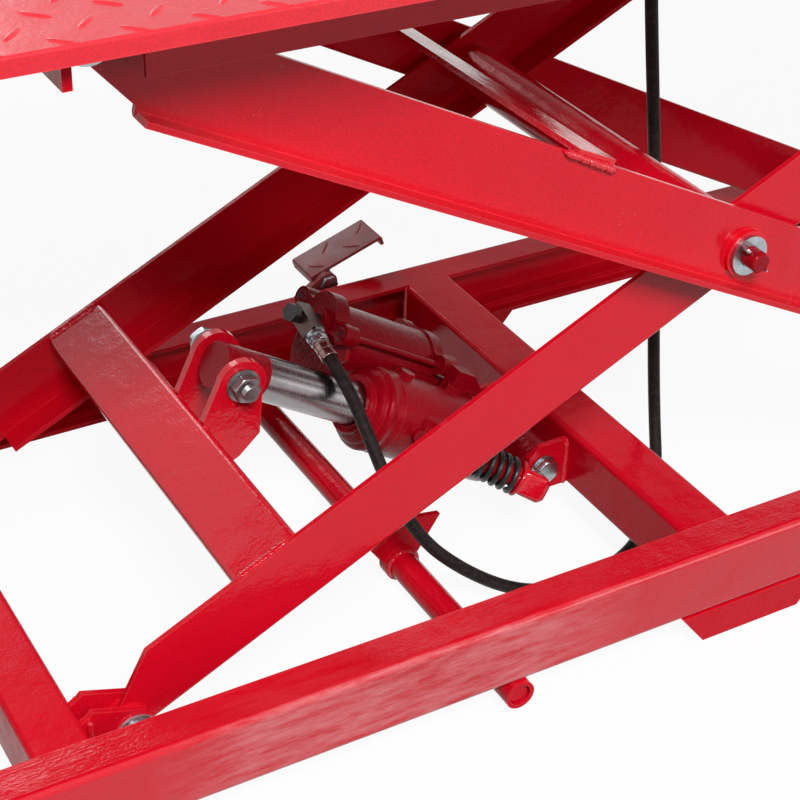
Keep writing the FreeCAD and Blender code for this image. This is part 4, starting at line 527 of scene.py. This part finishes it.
# Crimped hose end, turned about the ferrule's axis. CAP_FACE is the x of the valve cap's face, and the banjo
# block is bolted to it.
CAP_FACE, BANJO_Y, BANJO_HEIGHT = 131.5, 73.0, 52.5
BANJO_YAW, BANJO_ROLL = math.radians(12), math.radians(16)
FITTING = JACK @ Matrix.Translation(at(CAP_FACE, BANJO_Y, BANJO_HEIGHT)) @ Matrix.Rotation(BANJO_YAW, 4, "Z") \
    @ Matrix.Rotation(BANJO_ROLL, 4, "X")
ferrule = FITTING @ standing(at(-32.5, -26.0, 0), (0, -1, 0))
CRIMP_FLAT, CRIMP_STEP, CRIMP_BAND, CRIMP_GAP = 8.15, TURN / 8, (17.0, 31.0), (23.4, 24.8)


def crimped(angle, height, radius):
    """Eight jaws' flats pressed into the sleeve, in two bands."""
    if CRIMP_BAND[0] < height < CRIMP_BAND[1] and not CRIMP_GAP[0] < height < CRIMP_GAP[1]:
        return min(radius, CRIMP_FLAT / math.cos((angle + CRIMP_STEP / 2) % CRIMP_STEP - CRIMP_STEP / 2))
    return radius


sleeve_rings = [(14.2, 7.6), (14.6, 8.4), (15.4, 8.8), (16.9, 8.8), (17.3, 8.5), (23.3, 8.45), (23.6, 8.8),
                (24.6, 8.8), (24.9, 8.45), (30.9, 8.5), (31.3, 8.8), (33.2, 8.8), (33.8, 8.4), (34.1, 7.4)]
piece("hose_end_collar", [disc(ferrule, 0.4, 5.6, 10.4, 1.0), hexed(ferrule, 6.1, 7.6, 8.4),
                          disc(ferrule, 13.5, 1.2, 6.9, 0.3)], ZINC, "jack", ["hose_ferrule"])
piece("hose_end_sleeve", [turned(ferrule, sleeve_rings, crimped, 64)], CRIMP, "jack")

# Return spring on the pump plunger: one black wire that keeps 0.849 of its length at full stroke.
# PLUNGER is the middle of the plunger's end block, and SEAT is how far behind it the spring starts.
PLUNGER, SEAT = Vector((341.0, -94.5, 4.0)), 71.4
PUMP_TURN = math.radians(29.2)
pump_way = Vector((math.cos(PUMP_TURN), -math.sin(PUMP_TURN), 0))
SPRING_RUN, SPRING_RADIUS, WIRE, TURNS, WIRE_STEPS = 49.8, 16.5, 3.1, 5.5, 220
spring_start = PLUNGER - pump_way * SEAT
spring_place = JACK @ standing(spring_start * MM, pump_way)


def spring_point(turn):
    """Centre of the wire after a number of turns."""
    share = turn / TURNS
    angle = TURN * turn
    return spring_place @ at(SPRING_RADIUS * math.cos(angle), SPRING_RADIUS * math.sin(angle), SPRING_RUN * share)


coil_line = [spring_point(TURNS * k / WIRE_STEPS) for k in range(WIRE_STEPS + 1)]
coil_shell, _ = tube(coil_line, WIRE * MM, 16)
spring = piece("pump_return_spring", [coil_shell], BLACK, "jack", ["pump_spring"])
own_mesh(spring)


# Bolts, washers and nuts, each on the pivot that it holds.
def stack(name, origin, way, parts, mat, body, replaced=(), side=None):
    """Turned parts on one line, each given as kind, start, length and radius in millimetres."""
    place = standing(origin, way, side)
    shells = []
    for kind, start, length, size in parts:
        make = {"disc": disc, "hex": hexed, "thread": threaded}[kind]
        shells.append(make(place, start, length, size))
    return piece(name, shells, mat, body, replaced)


SIDES = {"near": -1, "far": 1}
PIN_Y = 259.2
stack("ram_bolt_nut_end", RAM_PIN, (0, -1, 0), [
    ("disc", -30, 60, 8.0), ("disc", 31.0, 2.6, 17.0), ("hex", 33.6, 10.4, 12.3), ("thread", 43.0, 8.0, 8.0)],
    ZINC_OLD, "inner_arms", ["ram_bolt"], (0.25, 0, 1))
stack("ram_bolt_head_end", RAM_PIN, (0, 1, 0), [
    ("disc", 30.0, 26.0, 8.0), ("disc", 35.0, 2.6, 17.0), ("disc", 37.6, 10.0, 12.0), ("disc", 47.6, 2.4, 16.5),
    ("hex", 50.0, 10.6, 12.6)], ZINC, "inner_arms", (), (0.6, 0, 1))
stack("jack_bolt_head_end", HEEL, (0, -1, 0), [
    ("disc", -66, 140, 7.6), ("disc", 71.0, 2.4, 15.0), ("hex", 73.4, 9.2, 12.0)],
    ZINC, "base", ["jack_pivot_bolt"], (0.4, 0, 1))
stack("jack_bolt_nut_end", HEEL, (0, 1, 0), [("disc", 57.0, 2.4, 14.0), ("hex", 59.4, 7.4, 12.0)], ZINC, "base")
for side, sign in SIDES.items():
    stack("base_pin_" + side, BASE_PIVOT, (0, sign, 0), [
        ("disc", 199.5, 45, 8.9), ("disc", 240.2, 3.2, 19.8), ("hex", 243.6, 9.6, 13.0), ("disc", 206.0, 3.0, 19.0),
        ("hex", 199.5, 6.6, 12.5)], ZINC_PALE, "base", ["base_pivot_pins"] if sign < 0 else (), (0.3, 0, 1))
    end = standing(CENTRE, (0, sign, 0))
    axle_rings = [(-0.5, 9.9), (251.0, 9.9), (252.0, 10.0), (266.2, 10.0), (267.2, 9.6), (268.4, 8.6), (269.0, 7.8)]
    octagon, round_up_to = many_sided(9.35, 8), 251.5
    shell = turned(end, axle_rings, lambda a, h, r: octagon(a, h, r) if h > round_up_to else r, 64)
    piece("centre_pin_" + side, [shell], RED_CAST_SHADED, "inner_arms", ["centre_axle"] if sign < 0 else ())
    # Split pin: eye at one end, two legs through the axle at PIN_Y, their tips bent apart.
    lean = math.radians(-48)
    along = Vector((math.cos(lean), 0, math.sin(lean)))
    out = Vector((0, sign, 0))
    wires = []
    for leg in (-1, 1):
        route = [(-18.5, 0.0), (-19.0, 2.6), (-15.6, 3.9), (-12.2, 1.4), (-8.0, 0.95), (9.5, 0.95), (12.0, 1.4),
                 (14.2, 4.2), (14.6, 7.2)]
        line = smooth_line([CENTRE + along * (a * MM) + out * ((PIN_Y + leg * b) * MM) for a, b in route], 8)
        wires.append(tube(line, 1.25 * MM, 12)[0])
    piece("split_pin_" + side, wires, ZINC, "inner_arms", ["cotter_pins"] if sign < 0 else ())


MACHINED, LUMPS = 28, 0.16


def hollow(place, profile, segments=72, rough=0.0):
    """Turned shell with a bore: profile is a closed loop of (height, radius) in millimetres.

    Rings wider than MACHINED are rough castings.
    """
    points, faces = [], []
    for height, radius in profile:
        for k in range(segments):
            angle = TURN * k / segments
            spot = Vector((radius * math.cos(angle), radius * math.sin(angle), height))
            swell = rough * noise.noise(spot * LUMPS) if radius > MACHINED else 0.0
            points.append(place @ at((radius + swell) * math.cos(angle), (radius + swell) * math.sin(angle),
                                     height + 0.6 * swell))
    rows = len(profile)
    for row in range(rows):
        for k in range(segments):
            a, b = row * segments + k, row * segments + (k + 1) % segments
            c, d = (a + segments) % (rows * segments), (b + segments) % (rows * segments)
            faces.append((a, b, d, c))
    return points, faces


# Cast gland: a stepped nose of rounded rings round the ram, which lies RAM_Y off the middle of the lift.
RAM_Y = 2.0
jack_axis = JACK @ standing(at(0, RAM_Y, 0), (1, 0, 0), (0, 0, 1))
gland_profile = [(156.6, 22.9), (155.8, 23.6), (155.5, 25.0), (155.5, 29.2), (155.9, 30.4), (157.0, 31.2),
                 (160.2, 31.4), (161.4, 31.0), (162.2, 30.2), (163.0, 30.4), (163.8, 32.4), (165.2, 35.8),
                 (167.0, 38.2), (169.0, 39.2), (170.4, 38.8), (171.2, 38.2), (172.0, 38.8), (172.8, 41.2),
                 (174.2, 43.2), (176.4, 43.95), (179.0, 43.9), (181.0, 43.2), (182.6, 42.7), (185.0, 42.9),
                 (192.4, 43.6), (192.4, 22.9)]
piece("gland_cast", [hollow(jack_axis, gland_profile, 96, 0.55)], RED_CAST_SHADED, "jack", ["jack_gland"], sharp=60)

# Plunger with its cast end block.
pump_place = JACK @ standing(PLUNGER * MM, pump_way, (0, 0.18, 1))
BLOCK_RADIUS = 17.6
four = many_sided(14.0, 4)
block_rings = [(-15.0, 16.6), (-14.0, 17.6), (-8.0, 17.9), (0.0, 17.7), (7.5, 17.8), (9.5, 17.3), (13.8, 13.6),
               (15.0, 12.4)]
block = turned(pump_place, block_rings, lambda a, h, r: r / BLOCK_RADIUS * four(a, h, BLOCK_RADIUS), 64)
rod_rings = [(-86.5, 7.9), (-86.0, 8.5), (-62.5, 8.5), (-62.0, 11.2), (-14.0, 11.2), (-13.5, 11.0)]
tip = turned(pump_place, [(14.6, 8.4), (15.6, 8.2), (16.2, 7.4)], many_sided(6.6, 4), 40)
piece("pump_plunger_cast", [turned(pump_place, rod_rings), disc(pump_place, -18.0, 3.6, 19.4, 1.2), block, tip],
      RED_BEAD, "pump", ["pump_plunger"], sharp=45)

# Socket screws in the lobes of the valve cap: a black ring round each head as painted shade of its gap, the head, and
# a black hexagon on the head as painted shade of its socket.
CAP_MIDDLE, CAP_HEIGHT, LOBE_REACH = 80.0, 54.5, 42.0
shade_patches, heads = [], []
for sign in (-1, 1):
    screw = JACK @ standing(at(CAP_FACE, CAP_MIDDLE + sign * LOBE_REACH, CAP_HEIGHT), (-1, 0, 0), (0, 0.3, 1))
    shade_patches += [turned(screw, [(-1.0, 7.3), (0.12, 7.3), (0.12, 7.2)]),
                   turned(screw, [(0.2, 3.1), (0.62, 3.1), (0.62, 3.0)], many_sided(2.7), 48)]
    heads.append(turned(screw, [(-1.0, 6.0), (0.25, 6.0), (0.45, 5.7), (0.5, 5.3)]))
piece("cap_screw_painted_shade", shade_patches, BLACK, "jack")
piece("cap_screw_heads", heads, RED_CAST_SHADED, "jack")


# Weld beads: overlapping ripples laid along a line.
BEAD_STEP, BEAD_PITCH = 0.75, 3.3


def bead(name, points, radius, body, out, seed=1, closed=False):
    """Bead of a radius along points, all in millimetres, that bulges towards out."""
    rng = random.Random(seed)
    line = [Vector(p) * MM for p in points]
    run = length_of(line)
    count = max(6, int(run / (BEAD_STEP * MM)))
    dense = []
    for k in range(count + 1):
        goal = run * k / count
        for a, b in zip(line, line[1:]):
            step = (b - a).length
            if goal <= step or b is line[-1]:
                dense.append(a.lerp(b, min(1.0, goal / step)))
                break
            goal -= step
    pitch, phase, shells, faces = BEAD_PITCH * MM, rng.random(), [], []
    outward = Vector(out).normalized()
    segments = 14
    shift = [rng.uniform(-0.22, 0.22) for _ in range(int(run / pitch) + 3)]
    for k, centre in enumerate(dense):
        way = (dense[min(k + 1, count)] - dense[max(k - 1, 0)]).normalized()
        up_way = (outward - way * outward.dot(way)).normalized()
        side_way = way.cross(up_way)
        gone = run * k / count / pitch + phase
        ripple = gone % 1.0
        size = radius * MM * (0.80 + 0.24 * (1 - ripple) ** 0.6 + 0.10 * shift[int(gone)])
        if not closed:
            size *= min(1.0, 0.35 + 0.9 * min(k, count - k) * BEAD_STEP / (1.6 * radius))
        drift_side = side_way * (shift[int(gone)] * radius * MM * 0.5)
        for s in range(segments):
            angle = TURN * s / segments
            bow = way * (-0.45 * radius * MM * math.cos(angle))
            shells.append(centre + drift_side + up_way * (size * math.cos(angle))
                          + side_way * (1.15 * size * math.sin(angle)) + bow)
    for row in range(count):
        for s in range(segments):
            a, b = row * segments + s, row * segments + (s + 1) % segments
            faces.append((a, b, b + segments, a + segments))
    faces.append(tuple(range(segments - 1, -1, -1)))
    faces.append(tuple(range(count * segments, count * segments + segments)))
    return piece(name, [(shells, faces)], RED_BEAD, body, sharp=50)


def ring(centre, radius, steps=40):
    """Points of a full turn about a line along y."""
    return [(centre[0] + radius * math.cos(TURN * k / steps), centre[1],
             centre[2] + radius * math.sin(TURN * k / steps)) for k in range(steps + 1)]


def seam(y, *ends):
    """Ends of a straight seam at one y, from (x, z) of each."""
    return [(x, y, z) for x, z in ends]


# Seams that the beads follow, in the part's millimetres. Those on both sides have the far side's y.
ARM_Y, BRACE_SEAM = 244, ((-552, 536.0), (-499, 508.0))
RAIL_Y, BEAM_LOW, BEAM_HIGH, FRONT_BEAM_X = 264, 47, 108, -984.5
JACK_BEAM_FACES = ((-387.5, -1), (-328.5, 1))
EAR_FACES, EAR_SEAM = ((240.6, 1), (208.4, -1)), ((-984.0, 52), (-984.0, 107))
BOSS_X, BOSS_Y, BOSS_Z, BOSS_RADIUS = -345.4, 238.5, 394.5, 25.2
CROSSBAR_Y, CROSSBAR_SEAM = 220.2, ((-836.9, 187.2), (-785.0, 213.1))
BRACKET_FACES, BRACKET_SEAM = ((-71.6, -1), (-64.4, 1), (50.4, -1), (57.6, 1)), ((-388.2, 44), (-388.2, 98))
RAM_EAR_FACES, RAM_EAR_SEAM = ((-31.6, -1), (-22.4, 1), (26.4, -1), (35.6, 1)), ((-780.5, 214.0), (-760.5, 164.0))
SLEEVE_FACES, SLEEVE_X, SLEEVE_Z, SLEEVE_RADIUS = ((-89.6, -1), (-74.4, 1)), -592.5, 21.0, 15.6

for side, sign in SIDES.items():
    bead("brace_bead_" + side, seam(sign * ARM_Y, *BRACE_SEAM), 3.4, "outer_arms", (0, sign, 0.6), seed=3)
    for x, face in JACK_BEAM_FACES:
        bead("jack_beam_bead_%s_%d" % (side, 2 + face), seam(sign * RAIL_Y, (x, BEAM_LOW), (x, BEAM_HIGH)), 2.6,
             "base", (face, -sign, 0), seed=5 + face)
    bead("front_beam_bead_" + side, seam(sign * RAIL_Y, (FRONT_BEAM_X, BEAM_LOW), (FRONT_BEAM_X, BEAM_HIGH)), 2.6,
         "base", (1, -sign, 0), seed=9)
    for index, (y, face) in enumerate(EAR_FACES):
        bead("pivot_ear_bead_%s_%d" % (side, index), seam(sign * y, *EAR_SEAM), 2.8, "base", (1, face * sign, 0),
             seed=11 + index)
    boss = (BOSS_X, sign * BOSS_Y, BOSS_Z)
    bead("boss_bead_" + side, ring(boss, BOSS_RADIUS), 1.6, "outer_arms", (0, sign, 0), seed=16, closed=True)
    bead("crossbar_bead_" + side, seam(sign * CROSSBAR_Y, *CROSSBAR_SEAM), 4.0, "inner_arms", (-0.4, -sign, 0.8),
         seed=60)
for index, (y, face) in enumerate(BRACKET_FACES):
    bead("bracket_bead_%d" % index, seam(y, *BRACKET_SEAM), 3.0, "base", (-1, face, 0), seed=20 + index)
for index, (y, face) in enumerate(RAM_EAR_FACES):
    bead("ram_ear_bead_%d" % index, seam(y, *RAM_EAR_SEAM), 2.8, "inner_arms", (1, face, 0.3), seed=30 + index)
for index, (y, face) in enumerate(SLEEVE_FACES):
    bead("sleeve_bead_%d" % index, ring((SLEEVE_X, y, SLEEVE_Z), SLEEVE_RADIUS), 2.6, "base", (0, face, 0),
         seed=40 + index, closed=True)


# Raised lens-shaped lugs of the tread plate, in two directions on a square pitch. Millimetres.
PITCH_LUG, LUG_LONG, LUG_WIDE, LUG_HIGH = 47.5, 25.0, 6.4, 1.5


def lug(place, angle, length=LUG_LONG, wide=LUG_WIDE, high=LUG_HIGH):
    """One lug on a plane: place maps millimetres on the plane to metres."""
    points, faces = [], []
    rows, cols = 9, 5
    cos_a, sin_a = math.cos(angle), math.sin(angle)
    for i in range(rows):
        u = -1 + 2 * i / (rows - 1)
        half = wide / 2 * (1 - u * u) ** 0.75 + 0.12
        for j in range(cols):
            v = -1 + 2 * j / (cols - 1)
            rise = high * (1 - abs(v) ** 2.2) * (1 - abs(u) ** 3.5) if abs(v) < 1 and abs(u) < 1 else -0.25
            x, y = u * length / 2, v * half
            points.append(place @ at(x * cos_a - y * sin_a, x * sin_a + y * cos_a, rise))
    for i in range(rows - 1):
        for j in range(cols - 1):
            a = i * cols + j
            faces.append((a, a + cols, a + cols + 1, a + 1))
    rim = list(range(cols)) + [i * cols + cols - 1 for i in range(1, rows)] \
        + [(rows - 1) * cols + j for j in range(cols - 2, -1, -1)] + [i * cols for i in range(rows - 2, 0, -1)]
    faces.append(tuple(rim))
    return points, faces


def lug_field(low, high, origin, skip=()):
    """Places (x, y, angle) of the lugs between two corners, their lattice through origin."""
    places = []
    half = PITCH_LUG / 2
    for i in range(int((low[0] - origin[0]) / half) - 1, int((high[0] - origin[0]) / half) + 2):
        for j in range(int((low[1] - origin[1]) / half) - 1, int((high[1] - origin[1]) / half) + 2):
            if (i + j) % 2:
                continue
            x, y = origin[0] + i * half, origin[1] + j * half
            if not (low[0] < x < high[0] and low[1] < y < high[1]):
                continue
            if any(a < x < b and c < y < d for a, b, c, d in skip):
                continue
            places.append((x, y, math.radians(45 if i % 2 == 0 else -45)))
    return places


def trimmed(obj, planes):
    """Cut the mesh at planes (point, outward normal in mm) and close what was cut."""
    work = bmesh.new()
    work.from_mesh(obj.data)
    for point, normal in planes:
        made = bmesh.ops.bisect_plane(work, geom=work.verts[:] + work.edges[:] + work.faces[:], dist=1e-7,
                                      plane_co=Vector(point) * MM, plane_no=normal, clear_outer=True)
        edges = [e for e in made["geom_cut"] if isinstance(e, bmesh.types.BMEdge)]
        bmesh.ops.edgenet_fill(work, edges=edges)
    work.to_mesh(obj.data)
    work.free()
    obj.data.set_sharp_from_angle(angle=math.radians(50))


DECK_TOP, LATTICE = 743.8, (-78.2 + ROW_X, -313.8)
UNDER_VISE = (-1256.0, -1002.0, -158.0, 158.0)


def lugs_on(low, high, skip=()):
    return [lug(Matrix.Translation(at(x, y, DECK_TOP)), angle) for x, y, angle in lug_field(low, high, LATTICE, skip)]


DECK_START, DECK_END, DECK_HALF = -1283.0, 785.0, 344.0
deck_lugs = piece("deck_lugs", lugs_on((-1288.0, -352.0), (786.0, 352.0), [UNDER_VISE]), RED_DECK_LIT, "platform",
                  sharp=50)
trimmed(deck_lugs, [((0, -DECK_HALF, 0), (0, -1, 0)), ((0, DECK_HALF, 0), (0, 1, 0)),
                    ((DECK_START, 0, 0), (-1, 0, 0)), ((DECK_END, 0, 0), (1, 0, 0))])
piece("ramp_lugs", lugs_on((846.0, -266.0), (1270.0, 266.0)), RED_DECK_LIT, "ramp", sharp=50)

# Four lugs on the pedal's tread, which is tilted. PEDAL_MIDDLE is its y in metres.
PEDAL_MIDDLE, PEDAL_TILT = 0.347, math.radians(19)
pedal_up = Vector((-math.sin(PEDAL_TILT), 0, math.cos(PEDAL_TILT)))
pedal_along = Vector((math.cos(PEDAL_TILT), 0, math.sin(PEDAL_TILT)))
pedal_top = max(v.co.dot(pedal_up) for v in NODES["pedal_plate"].data.vertices)
pedal_foot = min(v.co.dot(pedal_along) for v in NODES["pedal_plate"].data.vertices)
pedal_origin = pedal_up * pedal_top + pedal_along * pedal_foot + Y_AXIS * PEDAL_MIDDLE
pedal_place = standing(pedal_origin, pedal_up, pedal_along)
pedal_shells = []
for u, v, angle in ((16.0, -11.0, -45.0), (40.0, 12.0, 45.0), (64.0, -11.0, -45.0), (88.0, 12.0, 45.0)):
    pedal_shells.append(lug(pedal_place @ Matrix.Translation(at(u, v, 0)), math.radians(angle), 24.0, 6.0, 1.3))
piece("pedal_lugs", pedal_shells, RED_DUSTY, "pedal", sharp=50)


# Studio: pale floor, white surround for the camera and for gloss, soft light from above and the front.
def seen_directly(tree):
    """1 for rays that look straight at a surface, or at it in a mirror or through glass."""
    path = tree.nodes.new("ShaderNodeLightPath")
    found = path.outputs["Is Camera Ray"]
    for name in ("Is Glossy Ray", "Is Transmission Ray"):
        most = tree.nodes.new("ShaderNodeMath")
        most.operation = "MAXIMUM"
        tree.links.new(found, most.inputs[0])
        tree.links.new(path.outputs[name], most.inputs[1])
        found = most.outputs["Value"]
    return found


def mixed(tree, share, first, second):
    """Shader that goes from first to second as share goes from 0 to 1."""
    mix = tree.nodes.new("ShaderNodeMixShader")
    if isinstance(share, float):
        mix.inputs["Fac"].default_value = share
    else:
        tree.links.new(share, mix.inputs["Fac"])
    tree.links.new(first, mix.inputs[1])
    tree.links.new(second, mix.inputs[2])
    return mix.outputs["Shader"]


FLOOR_SIZE, FLOOR_DROP, FLOOR_GREY, PAPER_WHITE, GLOW_SHARE = 80.0, 0.001, 0.20, 0.95, 0.93
bpy.ops.mesh.primitive_plane_add(size=FLOOR_SIZE, location=(0, 0, -FLOOR_DROP))
floor = bpy.context.object
floor.name = "studio_floor"
floor_mat = bpy.data.materials.new("studio_floor")
floor_mat.use_nodes = True
tree = floor_mat.node_tree
tree.nodes.remove(tree.nodes["Principled BSDF"])
grey, white = tree.nodes.new("ShaderNodeBsdfDiffuse"), tree.nodes.new("ShaderNodeBsdfDiffuse")
grey.inputs["Color"].default_value = (FLOOR_GREY, FLOOR_GREY, FLOOR_GREY, 1)
white.inputs["Color"].default_value = (PAPER_WHITE, PAPER_WHITE, PAPER_WHITE, 1)
glow = tree.nodes.new("ShaderNodeEmission")
glow.inputs["Strength"].default_value = 1.0
paper = mixed(tree, GLOW_SHARE, white.outputs["BSDF"], glow.outputs["Emission"])
tree.links.new(mixed(tree, seen_directly(tree), grey.outputs["BSDF"], paper),
               tree.nodes["Material Output"].inputs["Surface"])
floor.data.materials.append(floor_mat)

WORLD_LIGHT = 0.10
world = bpy.data.worlds.new("studio")
scene.world = world
world.use_nodes = True
tree = world.node_tree
back = tree.nodes["Background"]
back.inputs["Color"].default_value = (0.90, 0.92, 0.95, 1)
back.inputs["Strength"].default_value = WORLD_LIGHT
bright = tree.nodes.new("ShaderNodeBackground")
bright.inputs["Color"].default_value = (1, 1, 1, 1)
bright.inputs["Strength"].default_value = 1.0
tree.links.new(mixed(tree, seen_directly(tree), back.outputs["Background"], bright.outputs["Background"]),
               tree.nodes["World Output"].inputs["Surface"])


def softbox(name, place, aim, size, power):
    """Square area light of a size (metres) and power (watts) that points at a place."""
    lamp = bpy.data.lights.new(name, "AREA")
    lamp.shape = "SQUARE"
    lamp.size = size
    lamp.energy = power
    obj = bpy.data.objects.new(name, lamp)
    obj.location = place
    obj.rotation_euler = (Vector(aim) - Vector(place)).to_track_quat("-Z", "Y").to_euler()
    scene.collection.objects.link(obj)


MIDDLE = (-0.45, 0.0, 0.35)
softbox("key", (-1.5, -2.85, 3.3), MIDDLE, 1.2, 174)
softbox("fill", (1.7, -3.2, 1.2), MIDDLE, 1.6, 26)
softbox("back", (-0.75, 3.3, 2.3), MIDDLE, 1.4, 30)

scene.view_settings.view_transform = "Standard"


def plain(box):
    """Box corners as lists of numbers."""
    return [[round(float(x), 6) for x in corner] for corner in box]
